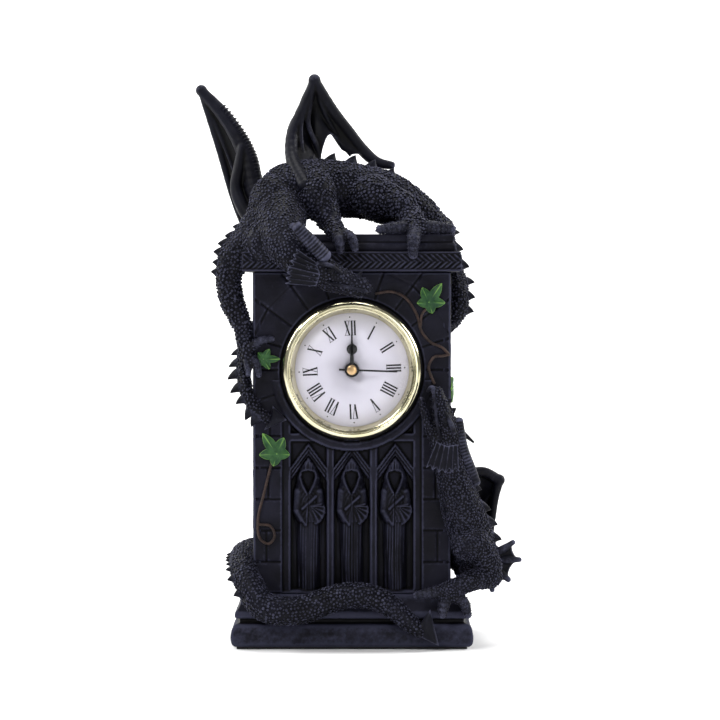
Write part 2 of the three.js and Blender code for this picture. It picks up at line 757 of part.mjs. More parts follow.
const upperTail = [
  [right - 3, 6.6, top + 3, 5],
  [right - 2, 18, top + 3.4, 4.8],
  [right - 1, 28.6, top + 1, 4.6],
  [right + 0.5, 34.4, top - 7, 4.4],
  [right + 4, 31, top - 16.5, 4.2],
  [right + 5.2, back - 3, top - 24, 4.1],
  [right + 4.2, back - 3.4, top - 31, 4],
  [right - 3, back + 4.2, top - 38, 3.9],
  [right - 20, back + 4.2, top - 42, 3.7],
  [left + 20, back + 4, top - 42, 3.5],
  [left + 3, back + 3.6, top - 39, 3.3],
  [left - 3.6, back - 6, top - 38, 3.2],
  [left - 3.8, 4, top - 40, 3.1],
  [left - 3.8, front + 12, top - 48, 3],
  [left - 3.4, front + 1, top - 58, 2.8],
  [left + 0.4, front - 3, top - 68, 2.5],
  [left + 6, front - 2.6, top - 73, 1.8],
];

// A flat barbed tail tip, in x and height, on the front.
const barb = (outline, nearY, thickness) => relief(outline, nearY, nearY + thickness);

function upperTailPiece() {
  const spines = [
    ...spineRow(upperTail, { from: 0.12, to: 0.42, count: 7, height: 2.2, lean: outRight }),
    ...spineRow(upperTail, {
      from: 0.8,
      to: 0.97,
      count: 7,
      height: 2.6,
      lean: (at) => new THREE.Vector3(-1, -0.1, at.z > top - 66 ? -0.25 : -0.9),
      width: 0.36,
    }),
  ];
  const tip = barb(
    [
      [left + 4.6, top - 77.4],
      [left + 13.6, top - 73.4],
      [left + 8, top - 67.8],
      [left + 7, top - 72],
    ],
    front - 3.4,
    2.6,
  );
  const rump = limb(upperTorso, { sides: 10, grow: touch });
  return carve(fuse([limb(upperTail, { sides: 9 }), tip, ...spines]), [masonry, rump]);
}

const wristKnob = ([x, y, z], radius) => new THREE.IcosahedronGeometry(radius, 1).translate(x, y, z);
const bone = (points, thick, thin) =>
  limb(
    points.map((point, i) => [...point, thick + ((thin - thick) * i) / (points.length - 1)]),
    { sides: 6, steps: points.length > 3 ? 1 : 2 },
  );

// What the wings' roots are cut to: the upper dragon's flesh, a little grown.
const aroundWings = [
  limb(upperTorso, { sides: 10, grow: touch }),
  limb(upperNeck, { sides: 10, grow: touch }),
  limb(upperLeftArm, { grow: touch }),
  limb(upperRightArm, { grow: touch }),
  ...upperMuscles.map((lump) => muscle(lump, touch)),
  masonry,
];

function upperRightWing() {
  const wrist = [left + 24, 1, top + 62.4];
  const lead = [
    wrist,
    [left + 19.2, 0, top + 51],
    [left + 15.2, -2, top + 41],
    [left + 15, -7, top + 32],
    [left + 17.2, -14, top + 25.4],
    [left + 20.6, -19.4, top + 19.4],
  ];
  const trail = [
    wrist,
    [left + 31.2, 3, top + 51],
    [left + 37.2, 4.6, top + 43.2],
    [left + 43.8, 6.2, top + 34.8],
    [left + 49.4, 7, top + 30.2],
    [left + 55.6, 7.4, top + 28.8],
  ];
  const fingers = [
    [left + 16.6, -11.6, top + 27.4],
    [left + 26.4, 0.4, top + 28.6],
    [left + 38.4, 5, top + 32.6],
    [left + 52, 7, top + 29.4],
  ];
  const skin = wingSkin(lead, fingers, trail, { dips: [0, 0.32, 0.05], across: 4 });
  const arm = bone(lead, 2.2, 3.2);
  const finger = bone(trail, 2.4, 1.9);
  const thumb = wristKnob([wrist[0], wrist[1], wrist[2] + 0.6], 2.6);
  const rearSpines = spineRow(upperTorso, { from: 0.3, to: 0.68, count: 5, height: 3.9, lean: upward });
  return carve(fuse([skin, arm, finger, thumb]), [...aroundWings, ...rearSpines]);
}

function upperLeftWing() {
  const wrist = [left - 21.4, 3, top + 58.2];
  const lead = [
    wrist,
    [left - 13.8, 2, top + 50],
    [left - 7, 0.6, top + 40],
    [left - 3, -1, top + 31],
    [left - 1, -3, top + 21],
    [left + 2, -5, top + 13],
  ];
  const trail = [
    wrist,
    [left - 15, 9, top + 36],
    [left - 9.6, 15, top + 15.6],
    [left - 4.4, 20, top + 0.6],
  ];
  const fingers = [[left + 1, -4, top + 15], [left - 2, 12, top + 7], trail.at(-1)];
  const skin = wingSkin(lead, fingers, trail, { dips: [0.02, 0.04], across: 3 });
  const arm = bone(lead, 2.2, 5.2);
  const finger = bone(trail, 2, 1.1);
  const thumb = wristKnob([wrist[0] - 0.6, wrist[1], wrist[2] + 0.8], 2.4);
  return carve(fuse([skin, arm, finger, thumb]), aroundWings);
}

// The lower dragon climbs the right-hand corner from the base, its mouth open below the cornice

const lowerTorso = [
  [right - 2, front - 5.6, plinthTop + 57, 6, 5.6],
  [right + 0.6, front - 5.4, plinthTop + 48, 6.6, 6.2],
  [right + 4, front - 4, plinthTop + 35, 8.2, 8],
  [right + 7.8, front + 0.6, plinthTop + 24, 8.8, 8.6],
  [right + 10, front + 7, plinthTop + 14.6, 8.8, 8.8],
  [right + 9.6, front + 15, plinthTop + 9.6, 7.6, 8],
];
const lowerSkull = [
  [right - 2, front - 6, plinthTop + 58, 6.2, 5.4],
  [right - 2.2, front - 6.6, plinthTop + 66, 5.2, 4.8],
  [right - 4, front - 6.6, plinthTop + 74, 3.8, 3.6],
  [right - 5.6, front - 6.2, plinthTop + 81, 2.2, 2.4],
];
const lowerJaw = [
  [right - 6, front - 6.6, plinthTop + 60, 2.6, 3],
  [right - 10, front - 6.6, plinthTop + 70, 1.9, 2.2],
  [right - 12, front - 6, plinthTop + 78, 1.1, 1.4],
];
const lowerThigh = [
  [right + 5.4, front - 7, plinthTop + 21, 6.2, 6],
  [right + 11, front - 6.6, plinthTop + 18.4, 6, 5.8],
  [right + 15.4, front - 4.6, plinthTop + 11, 5, 5],
];
const lowerShin = [
  [right + 15.8, front - 4.4, plinthTop + 8, 5.2, 5.2],
  [right + 8, plinthFront - 1, plinthTop + 6.4, 4.2, 4.4],
  [right + 1, plinthFront - 2, plinthTop + 3.6, 3.7, 3.8],
  [right - 2.6, plinthFront - 2.2, plinthTop + 2.4, 3.3, 3.4],
];
const lowerMuscles = [
  [right + 7.6, front - 7.6, plinthTop + 20.6, 8, 6.6, 6.6],
  [right + 1.6, front - 6.4, plinthTop + 40, 5.8, 5.4, 8],
];

function lowerToes() {
  const ankle = [right - 1.6, plinthFront - 2.2, plinthTop + 2];
  const stepFront = plinthFront - 2;
  const inner = [[right - 8, stepFront - 1, plinthTop + 1.8], [right - 14, stepFront, plinthTop + 0.6]];
  const middle = [
    [right - 3.4, stepFront - 1.6, plinthTop - 4],
    [right - 3.8, stepFront - 1.4, coveBottom - 0.6],
  ];
  const outer = [
    [right + 4.6, stepFront - 0.6, plinthTop - 2],
    [right + 6.4, stepFront - 0.4, stepBottom + 1.6],
  ];
  return [inner, middle, outer].map((points) => toe([ankle, ...points], 2.8));
}

function lowerHeadDressing() {
  const neck = plinthTop + 58;
  const horn = limb(
    [
      [right + 2.6, front - 6, neck + 11, 2],
      [right + 3.8, front - 6, neck + 1, 2.6],
      [right + 7, front - 6, neck - 7.6, 2.5],
      [right + 9.6, front - 5.6, neck - 13.4, 1.9],
    ],
    { sides: 8 },
  );
  const frill = relief(
    [
      [right - 10.2, neck - 7],
      [right - 4.6, neck - 8.8],
      [right - 1, neck - 9],
      [right + 2.4, neck - 8.4],
      [right + 1.6, neck + 2],
      [right - 6, neck + 3],
    ],
    front - 12.4,
    front - 10.4,
  );
  const farHorn = spike([right, front - 4, neck + 10], [right + 8.8, front - 1, neck + 2.4], 1.9);
  return [horn, frill, farHorn];
}

function lowerBody() {
  const spines = [
    ...spineRow(lowerTorso, { from: 0.3, to: 0.78, count: 5, height: 3, lean: outRight }),
    ...spineRow(lowerSkull, { from: 0.3, to: 0.7, count: 3, height: 1.2, lean: outRight }),
  ];
  const limbs = [lowerTorso, lowerSkull, lowerJaw].map((joints) => limb(joints, { sides: 10 }));
  const leg = [limb(lowerThigh), limb(lowerShin), ...lowerMuscles.map((lump) => muscle(lump))];
  return carve(fuse([...limbs, ...leg, ...lowerToes(), ...lowerHeadDressing(), ...spines]), [masonry]);
}

// What the folded wings and the tail are cut to: the lower dragon's flesh, a little grown.
const aroundHaunch = [
  limb(lowerTorso, { sides: 10, grow: touch }),
  limb(lowerThigh, { grow: touch }),
  limb(lowerShin, { grow: touch }),
  ...lowerMuscles.map((lump) => muscle(lump, touch)),
  masonry,
];

function lowerUpperWing() {
  const knuckle = [right + 19.6, front + 9, plinthTop + 44.6];
  const lead = [
    knuckle,
    [right + 13.4, front + 7.6, plinthTop + 48],
    [right + 6.4, front + 6, plinthTop + 47.6],
  ];
  const trail = [
    knuckle,
    [right + 18, front + 10, plinthTop + 38],
    [right + 17, front + 11, plinthTop + 30],
    [right + 15.6, front + 13, plinthTop + 18],
  ];
  const fingers = [lead.at(-1), [right + 9, front + 14, plinthTop + 22], trail.at(-1)];
  const skin = wingSkin(lead, fingers, trail, { dips: [0.02, 0.04], across: 3, outward: 4 });
  const arm = bone(lead, 2, 1.9);
  const finger = bone(trail, 1.9, 1.2);
  return carve(fuse([skin, arm, finger, wristKnob(knuckle, 2.3)]), [
    ...aroundHaunch,
    ...spineRow(lowerTorso, { from: 0.3, to: 0.78, count: 5, height: 3.4, lean: outRight, width: 0.66 }),
  ]);
}

function lowerLowerWing() {
  const root0 = [right + 14.6, front + 2, plinthTop + 13.6];
  const claws = [
    [right + 24.8, front + 0.6, plinthTop + 20.6],
    [right + 27.4, front + 0.6, plinthTop + 13.6],
    [right + 23, front + 1, plinthTop + 5.4],
    [right + 16.6, front + 3, plinthTop + 1],
  ];
  const skin = wingSkin([root0, claws[0]], claws, [root0, claws.at(-1)], {
    dips: [0.13, 0.15, 0.1],
    across: 3,
    outward: 3,
    thickness: 2,
  });
  const ribs = claws.slice(0, 3).map((claw) => bone([root0, claw], 1.9, 1));
  return carve(fuse([skin, ...ribs]), aroundHaunch);
}

const lowerTail = [
  [right + 9, front + 21, plinthTop + 8, 7],
  [right + 8.4, back - 6, plinthTop + 8.4, 6.6],
  [right + 1, back + 7, plinthTop + 10.6, 6.2],
  [right - 22, back + 7, plinthTop + 11.4, 6],
  [left + 22, back + 7, plinthTop + 12, 5.9],
  [left + 2, back + 6.4, plinthTop + 11.4, 5.8],
  [left - 4.6, back - 6, plinthTop + 11, 5.6],
  [left - 4.8, 0, plinthTop + 11, 5.4],
  [left - 4.2, front + 8, plinthTop + 10.4, 5.4],
  [left - 2.2, front - 5, plinthTop + 6.6, 5.5],
  [left + 5, plinthFront - 3, coveBottom + 3, 5.8],
  [left + 18, plinthFront - 3.6, coveBottom + 1.6, 5.6],
  [left + 29, plinthFront - 3, coveBottom + 5, 5.2],
  [left + 38, plinthFront - 2.6, coveBottom + 7.4, 5],
  [left + 48, plinthFront - 2.6, coveBottom + 6.4, 4.7],
  [left + 56, plinthFront - 3, coveBottom + 2, 4.3],
  [left + 62, plinthFront - 3.4, coveBottom - 3.4, 3.6],
  [left + 66, plinthFront - 3.6, coveBottom - 6.8, 2.6],
];

function lowerTailPiece() {
  const tip = barb(
    [
      [left + 60, coveBottom - 6],
      [left + 73.4, plinthBottom + 1.2],
      [left + 70, coveBottom + 2],
      [left + 66.4, coveBottom - 3],
    ],
    plinthFront - 5.6,
    3.4,
  );
  const spines = spineRow(lowerTail, {
    from: 0.36,
    to: 0.54,
    count: 7,
    height: 2,
    lean: () => new THREE.Vector3(-1, -0.2, 0.1),
  });
  return carve(fuse([limb(lowerTail, { sides: 12 }), tip, ...spines]), aroundHaunch);
}

// Ivy: stems that lie on the stone, and leaves held a little off it

const stemRadius = 0.7;
const stemAxis = front - stemRadius - slip; // a stem's centre line lies this deep
const overStem = stemAxis - stemRadius;
const leafThickness = 0.9;
const stem = (points) =>
  limb(
    points.map(([x, z]) => [x, stemAxis, z, stemRadius]),
    { sides: 5, steps: 2 },
  );

// An ivy leaf of five points, turned about the middle of its face, on what lies at a depth y.
function leaf(x, z, length, turn, y) {
  const lobes = [
    [0, -0.5],
    [0.34, -0.62],
    [0.3, -0.28],
    [0.62, -0.12],
    [0.28, 0.08],
    [0, 0.62],
    [-0.28, 0.08],
    [-0.62, -0.12],
    [-0.3, -0.28],
    [-0.34, -0.62],
  ];
  const angle = radians(turn);
  const outline = lobes.map(([u, v]) => [
    x + length * (u * Math.cos(angle) - v * Math.sin(angle)),
    z + length * (u * Math.sin(angle) + v * Math.cos(angle)),
  ]);
  return relief(outline, y - slip - leafThickness, y - slip);
}

// A leaf that wraps the tower's right corner: what reaches past the corner lies on the side.
function cornerLeaf(x, z, length, turn) {
  const reach = leafThickness + slip;
  const flat = leaf(x, z, length, turn, front);
  const folded = flat.clone().translate(-right, -front, 0).rotateZ(Math.PI / 2).translate(right, front, 0);
  const onFront = keepInside(flat, box([0, front - reach, 0], [right + reach, front, top]));
  const onSide = keepInside(folded, box([right, front - reach, 0], [right + reach, 0, top]));
  return fuse([onFront, onSide]);
}

// The clock insert, built along +Z out of the dial and then turned to face -Y

const insert = new THREE.Group();
insert.position.set(0, front, dialHeight);
insert.rotation.x = Math.PI / 2;
root.add(insert);

const seatLevel = -seatDepth + slip;
const bezelBore = dialRadius + 0.4;

function bezel() {
  const profile = [
    [bezelBore, seatLevel],
    [bezelRadius, seatLevel],
    [bezelRadius, bezelRise - 2],
    [bezelRadius - 0.5, bezelRise - 0.8],
    [bezelRadius - 1.5, bezelRise],
    [bezelBore + 0.5, bezelRise - 0.1],
    [bezelBore, bezelRise - 0.5],
  ];
  return turned(profile, 40);
}

const lensRadius = bezelBore - slip;

function lens() {
  const rise = (share) => lensDome * (1 - share * share);
  const shares = [0, 0.6, 1];
  const under = shares.map((share) => [lensRadius * share, lensEdge + rise(share)]);
  const over = shares.map((share) => [lensRadius * share, lensEdge + rise(share) + lensThickness]);
  return turned([...under, ...over.reverse()], 32);
}

function reflectorRing() {
  return turned(
    [
      [sightRadius, slip],
      [lensRadius, slip],
      [lensRadius, lensEdge - slip],
    ],
    40,
  );
}

const flangeLevel = -dialThickness - slip;

function insertCup() {
  const profile = [
    [cupRadius - cupWall, flangeLevel],
    [bezelBore - slip, flangeLevel],
    [bezelBore - slip, seatLevel],
    [cupRadius, seatLevel],
    [cupRadius, -cupDepth],
    [cupRadius - cupWall, -cupDepth],
  ];
  return turned(profile, 32);
}

// A toothed wheel or pinion. A wheel has pointed teeth, and a pinion has slim ones with flat tips.
function gear(teeth, module, low, high, bore = 0, phase = 0) {
  const pitch = (2 * Math.PI) / teeth;
  const [rootRadius, tipRadius] = [module * (teeth / 2 - 1.15), module * (teeth / 2 + 0.8)];
  const pointed = [
    [tipRadius, 0],
    [rootRadius, 0.5],
  ];
  const slim = [
    [rootRadius, -0.2],
    [tipRadius, -0.08],
    [tipRadius, 0.08],
    [rootRadius, 0.2],
  ];
  const outline = [];
  for (let i = 0; i < teeth; i++)
    for (const [radius, place] of teeth > 12 ? pointed : slim) {
      const angle = phase + (i + place) * pitch;
      outline.push([radius * Math.cos(angle), radius * Math.sin(angle)]);
    }
  return plate(outline, low, high, bore ? [[0, 0, bore]] : []);
}

// The phase that puts a gap of the second wheel where the first one's tooth points at it.
function meshPhase(phase, teeth, otherTeeth, direction) {
  const lead = ((direction - phase) / (2 * Math.PI)) * teeth;
  return direction + Math.PI - ((0.5 - lead) * 2 * Math.PI) / otherTeeth;
}

const polar = (distance, degrees) => [
  distance * Math.cos(radians(degrees)),
  distance * Math.sin(radians(degrees)),
];

// Tooth counts: 30:10 and 32:8 make the hour hand a twelfth, 45:6 and 48:6 the minute a sixtieth
const teeth = {
  minutePinion: 10,
  reverseWheel: 30,
  reversePinion: 8,
  hourWheel: 32,
  settingPinion: 10,
  secondPinion: 6,
  thirdWheel: 45,
  thirdPinion: 6,
  centreWheel: 48,
  fifthPinion: 6,
  secondWheel: 30,
  rotorPinion: 6,
  fifthWheel: 36,
};
const motionCentres = ((teeth.minutePinion + teeth.reverseWheel) * motionModule) / 2;
const thirdCentres = ((teeth.secondPinion + teeth.thirdWheel) * thirdModule) / 2;
const centreModule = (2 * thirdCentres) / (teeth.thirdPinion + teeth.centreWheel);
const fifthCentres = ((teeth.fifthPinion + teeth.secondWheel) * secondModule) / 2;
const rotorCentres = ((teeth.rotorPinion + teeth.fifthWheel) * rotorModule) / 2;
const reversePlace = polar(motionCentres, reverseDirection);
const settingPlace = polar(2 * motionCentres, reverseDirection);
const thirdPlace = polar(thirdCentres, thirdDirection);
const fifthPlace = polar(fifthCentres, fifthDirection);
const rotorPlace = polar(fifthCentres + rotorCentres, fifthDirection);

// Levels of the wheels, counted inwards from the dial
const hourLevel = plateLevel - 1.2;
const reverseLevel = hourLevel - 1.3;
const centreLevel = reverseLevel - 1.6;
const thirdLevel = centreLevel - 1.1;
const secondLevel = middleLevel - plateThickness - 0.7;
const fifthLevel = secondLevel - 1.4;
const hourPipe = 2;
const minutePipe = 1.4;
const secondArbor = 0.5;

const at = (geometry, [x, y]) => geometry.translate(x, y, 0);

function hourWheel() {
  const phase = meshPhase(0, teeth.reversePinion, teeth.hourWheel, radians(reverseDirection + 180));
  return fuse([
    gear(teeth.hourWheel, motionModule, hourLevel, hourLevel + wheelThickness, minutePipe + slip, phase),
    pipe(hourPipe, minutePipe + slip, hourLevel, handLevels.hour + handSheet),
  ]);
}

function cannonPinion() {
  const bore = secondArbor + running;
  return fuse([
    gear(teeth.minutePinion, motionModule, reverseLevel - 0.4, reverseLevel + 1, bore),
    pipe(minutePipe, bore, centreLevel + wheelThickness + slip, handLevels.minute + handSheet),
  ]);
}

function reverseWheel() {
  const phase = meshPhase(0, teeth.minutePinion, teeth.reverseWheel, radians(reverseDirection));
  const bore = arborRadius + running;
  return at(
    fuse([
      gear(teeth.reverseWheel, motionModule, reverseLevel, reverseLevel + wheelThickness, bore, phase),
      gear(teeth.reversePinion, motionModule, reverseLevel + wheelThickness / 2, hourLevel + 0.9, bore, 0),
    ]),
    reversePlace,
  );
}

function settingKnob() {
  const wheelPhase = meshPhase(0, teeth.minutePinion, teeth.reverseWheel, radians(reverseDirection));
  const phase = meshPhase(wheelPhase, teeth.reverseWheel, teeth.settingPinion, radians(reverseDirection));
  const outer = -cupDepth - backThickness - running;
  const grips = [];
  for (let i = 0; i < 12; i++)
    grips.push(bar(0.5, outer - knobHeight - 1, outer - 0.6, 5).translate(...polar(knobRadius, i * 30), 0));
  return at(
    fuse([
      gear(teeth.settingPinion, motionModule, reverseLevel - 0.2, reverseLevel + 0.8, 0, phase),
      bar(arborRadius * 2, outer - 1, reverseLevel + 0.5, 10),
      carve(bar(knobRadius, outer - knobHeight, outer, 24), grips),
    ]),
    settingPlace,
  );
}

function secondWheel() {
  return fuse([
    gear(teeth.secondWheel, secondModule, secondLevel, secondLevel + wheelThickness),
    gear(teeth.secondPinion, thirdModule, thirdLevel - 0.1, thirdLevel + 0.8),
    bar(secondArbor, bridgeLevel - 0.4, handLevels.second, 10),
  ]);
}

function thirdWheel() {
  const wheelPhase = meshPhase(0, teeth.secondPinion, teeth.thirdWheel, radians(thirdDirection));
  return at(
    fuse([
      gear(teeth.thirdWheel, thirdModule, thirdLevel, thirdLevel + wheelThickness, 0, wheelPhase),
      gear(teeth.thirdPinion, centreModule, thirdLevel + wheelThickness / 2, centreLevel + 0.7),
      bar(arborRadius, middleLevel - 0.5, plateLevel - 0.4, 8),
    ]),
    thirdPlace,
  );
}

function centreWheel() {
  const phase = meshPhase(0, teeth.thirdPinion, teeth.centreWheel, radians(thirdDirection + 180));
  const bore = secondArbor + running;
  return gear(teeth.centreWheel, centreModule, centreLevel, centreLevel + wheelThickness, bore, phase);
}

function fifthWheel() {
  const pinionPhase = meshPhase(0, teeth.secondWheel, teeth.fifthPinion, radians(fifthDirection));
  return at(
    fuse([
      gear(teeth.fifthWheel, rotorModule, fifthLevel, fifthLevel + wheelThickness),
      gear(teeth.fifthPinion, secondModule, fifthLevel + 0.3, secondLevel + 0.65, 0, pinionPhase),
      bar(arborRadius, bridgeLevel - 0.4, middleLevel - 0.3, 8),
    ]),
    fifthPlace,
  );
}

const magnetRadius = 2;

function rotor() {
  const phase = meshPhase(0, teeth.fifthWheel, teeth.rotorPinion, radians(fifthDirection));
  return at(
    fuse([
      gear(teeth.rotorPinion, rotorModule, fifthLevel - 0.2, fifthLevel + 0.8, 0, phase),
      bar(magnetRadius, fifthLevel - 2.2, fifthLevel - 0.8, 16),
      bar(arborRadius, bridgeLevel - 0.4, middleLevel - 0.3, 8),
    ]),
    rotorPlace,
  );
}

const plateRadius = cupRadius - cupWall - slip;
const statorLevel = fifthLevel - 2;
const statorThickness = 0.8;
const boardLevel = middleLevel - 3.8;
const boardThickness = 0.8;
const boardLow = [4.2, -15.6];
const boardHigh = [12.6, -4.6];
const postRadius = 1.1;
const posts = [[-3.6, 12.6], [11.4, 14.2], [-4.8, -5.2]];

function dialPlate() {
  const disc = carve(bar(plateRadius, plateLevel, plateLevel + plateThickness, 32), [
    bar(hourPipe + running, plateLevel - 1, 1),
  ]);
  const stud = bar(arborRadius, reverseLevel - 0.4, plateLevel + 0.2, 8);
  const boss = pipe(1.2, arborRadius + running, plateLevel - 0.45, plateLevel + 0.2, 10);
  return fuse([disc, at(stud, reversePlace), at(boss, thirdPlace)]);
}

function middlePlate() {
  const low = middleLevel - plateThickness;
  const holes = [
    [0, 0, secondArbor + running],
    [...thirdPlace, arborRadius + running],
    [...fifthPlace, arborRadius + running],
    [...rotorPlace, arborRadius + running],
    [...settingPlace, arborRadius * 2 + running],
  ];
  const drills = holes.map(([x, y, radius]) => at(bar(radius, low - 1, middleLevel + 1, 10), [x, y]));
  const coilRoom = coilRadius + 0.5 + touch;
  const coilWindow = box(
    [coilPlace[0] - coilRoom, coilPlace[1] - coilLength / 2 - touch, low - 1],
    [coilPlace[0] + coilRoom, coilPlace[1] + coilLength / 2 + touch, middleLevel + 1],
  );
  const post = (bottom) => bar(postRadius, bottom + slip, middleLevel - 0.2, 10);
  const bridgePosts = posts.map((place) => at(post(bridgeLevel), place));
  const boardPosts = [boardLow, boardHigh].map(([x, y], i) => {
    const inside = i ? -1.2 : 1.2;
    return at(post(boardLevel + boardThickness), [x + inside, y + inside]);
  });
  const disc = carve(bar(plateRadius, low, middleLevel, 32), [...drills, coilWindow]);
  return fuse([disc, ...bridgePosts, ...boardPosts]);
}

function bridge() {
  const outline = [[-4.2, 14.2], [-4.2, 9.6], [-6, -6.8], [-1.4, -6.8], [13.4, 12], [13.4, 16], [8, 16]];
  const drills = [[0, 0], fifthPlace, rotorPlace].map((place, i) => [
    ...place,
    (i ? arborRadius : secondArbor) + running,
  ]);
  return plate(outline, bridgeLevel - plateThickness, bridgeLevel, drills);
}

function stator() {
  const [rotorX, rotorY] = rotorPlace;
  const [coilX, coilY] = coilPlace;
  const endY = coilY + coilLength / 2;
  const outline = [
    [rotorX - 3.4, rotorY - 3.2],
    [coilX - 3, endY - 1.6],
    [coilX + 1.4, endY - 1.6],
    [coilX + 1.4, endY + 0.6],
    [coilX - 3, rotorY + 2.6],
    [rotorX - 3.4, rotorY + 3.2],
  ];
  const hole = [rotorX, rotorY, magnetRadius + 0.5];
  const yoke = plate(outline, statorLevel, statorLevel + statorThickness, [hole]);
  return carve(yoke, [at(bar(postRadius + running, statorLevel - 1, statorLevel + 2, 10), posts[1])]);
}

function coil() {
  const low = -coilLength / 2;
  const high = coilLength / 2;
  const flange = coilRadius + 0.5;
  const profile = [
    [0, low],
    [flange, low],
    [flange, low + 0.6],
    [coilRadius, low + 0.6],
    [coilRadius, high - 0.6],
    [flange, high - 0.6],
    [flange, high],
    [0, high],
  ];
  const level = statorLevel + statorThickness + slip + flange;
  return turned(profile, 14).rotateX(Math.PI / 2).translate(coilPlace[0], coilPlace[1], level);
}

const batteryTop = -cupDepth + 0.3; // the cell's face under the cover
const batteryFloor = batteryTop + batteryHeight;
const coverRadius = batteryRadius + 0.9;

function backCover() {
  const low = -cupDepth - backThickness;
  const disc = bar(cupRadius, low, -cupDepth - slip, 32);
  const well = at(bar(coverRadius + running, low - 1, -cupDepth + 1, 20), batteryPlace);
  const shaftHole = at(bar(arborRadius * 2 + running, low - 1, -cupDepth + 1, 10), settingPlace);
  const wall = pipe(batteryRadius + 0.9, batteryRadius + slip, batteryTop + 0.6, batteryFloor, 20);
  const spigot = pipe(plateRadius - slip, plateRadius - 1, -cupDepth - 0.4, -cupDepth + 1.6, 32);
  const ledge = pipe(coverRadius + 0.9, batteryRadius + slip, -cupDepth + 0.1, batteryTop + 1, 20);
  return fuse([
    carve(fuse([disc, spigot]), [well, shaftHole]),
    at(wall, batteryPlace),
    at(carve(ledge, [bar(coverRadius + 0.02, -cupDepth - 1, -cupDepth + 0.12, 20)]), batteryPlace),
  ]);
}

function batteryCover() {
  const low = -cupDepth - backThickness - 0.2;
  const slot = box([-4, -0.6, low - 1], [4, 0.6, low + 0.5]);
  return carve(bar(coverRadius, low, -cupDepth - slip, 20), [slot]);
}

function negativeContact() {
  const level = batteryFloor + slip;
  const [x, y] = batteryPlace;
  const outline = [
    [x - 2, y + 3],
    [x - 2, y - 12],
    [x + 6.4, y - 20.6],
    [boardLow[0] + 1.6, y - 20.6],
    [boardLow[0] + 1.6, y - 18.8],
    [x + 7, y - 18.8],
    [x, y - 11.4],
    [x, y - 2],
    [x + 3, y - 2],
    [x + 3, y + 3],
  ];
  return carve(plate(outline, level, level + contactSheet), [
    at(bar(postRadius + running, level - 1, level + 1, 10), [boardLow[0] + 1.2, boardLow[1] + 1.2]),
  ]);
}

function positiveContact() {
  const inner = batteryRadius + 0.9 + slip;
  const leaf0 = pipe(inner + contactSheet, inner, batteryFloor - 3.6, batteryFloor - 0.4, 20);
  const wedge = box([-3.4, -12, batteryFloor - 6], [3.4, 0, batteryFloor]);
  const strap = box([-0.9, -inner - 8, batteryFloor - 0.7], [0.9, -inner - 0.1, batteryFloor - 0.4]);
  return fuse([keepInside(leaf0, wedge), strap]).rotateZ(radians(20)).translate(...batteryPlace, 0);
}

// Hands, each cut from sheet, pointing up the dial
const handLevels = { hour: 0.95, minute: 1.75, second: 2.5 };

function ballHand(length, level, bossRadius, bore, width, tipWidth) {
  const boss = bar(bossRadius, level, level + handSheet, 16);
  const ball = bar(ballRadius, level, level + handSheet, 14).translate(0, ballPlace, 0);
  const blade = plate(
    [
      [-width, 0],
      [width, 0],
      [width * 0.8, ballPlace],
      [tipWidth, length],
      [-tipWidth, length],
      [-width * 0.8, ballPlace],
    ],
    level,
    level + handSheet,
  );
  return carve(fuse([boss, ball, blade]), [bar(bore, level - 1, level + 1)]);
}

function secondHand() {
  const level = handLevels.second + slip;
  const needle = plate(
    [
      [-0.4, -secondHandTail],
      [0.4, -secondHandTail],
      [0.35, secondHandLength],
      [-0.35, secondHandLength],
    ],
    level,
    level + handSheet,
  );
  return fuse([needle, bar(1.3, level, level + handSheet, 16)]).rotateZ(radians(-secondHandAngle));
}

function secondHandCap() {
  const level = handLevels.second + slip + handSheet + 0.05;
  const profile = [
    [0, level],
    [capRadius, level],
    [capRadius, level + 0.35],
    [capRadius - 0.4, level + 0.6],
    [0, level + 0.65],
  ];
  return turned(profile, 20);
}

// The assembly

function feltSheet() {
  return block(plinthWidth - 2 * feltInset, plinthDepth - 2 * feltInset, 0, feltThickness);
}

piece("felt_sheet", feltSheet(), felt);
piece("plinth", plinth(), resin);
piece("tower", tower(), resin);
piece("cornice", cornice(), resin);

const stems = {
  ivy_stem_right: [
    [
      [9.5, 140],
      [15.5, 140.8],
      [21, 138.5],
      [25.5, 132],
      [27.6, 125],
      [31.5, 120.6],
      [35.6, 118.8],
      [38.4, 116],
    ],
    [[27.2, 127.4], [27.6, 131.6], [29.4, 134.2]],
    [[38.4, 116], [36, 115.4], [32.4, 114.9], [30.4, 111], [31.6, 106.8], [32.6, 104.6]],
  ],
  ivy_stem_left: [
    [
      [-31.4, 74.6],
      [-34.4, 62.6],
      [-37.2, 50.4],
      [-36.4, 43],
      [-33, 41],
      [-30.6, 44],
      [-32.4, 48],
      [-36.8, 48.6],
    ],
  ],
};

const ivyHang = dialHeight - 109.9; // the stems were laid out round a dial at this height
for (const [name, runs] of Object.entries(stems)) {
  const raised = runs.map((run) => stem(run.map(([x, z]) => [x, z + ivyHang])));
  piece(name, carve(fuse(raised), [limb(upperLeftArm, { grow: touch })]), vineBrown);
}

const upperDragon = upperBody();
piece("upper_dragon_body", upperDragon, resinDry);
piece("upper_dragon_tail", upperTailPiece(), resinDry);
piece("upper_dragon_left_wing", upperLeftWing(), resinDry);
piece("upper_dragon_right_wing", upperRightWing(), resinDry);
piece("lower_dragon_body", lowerBody(), resinDry);
piece("lower_dragon_tail", lowerTailPiece(), resinDry);
piece("lower_dragon_upper_wing", lowerUpperWing(), resinDry);
piece("lower_dragon_lower_wing", lowerLowerWing(), resinDry);

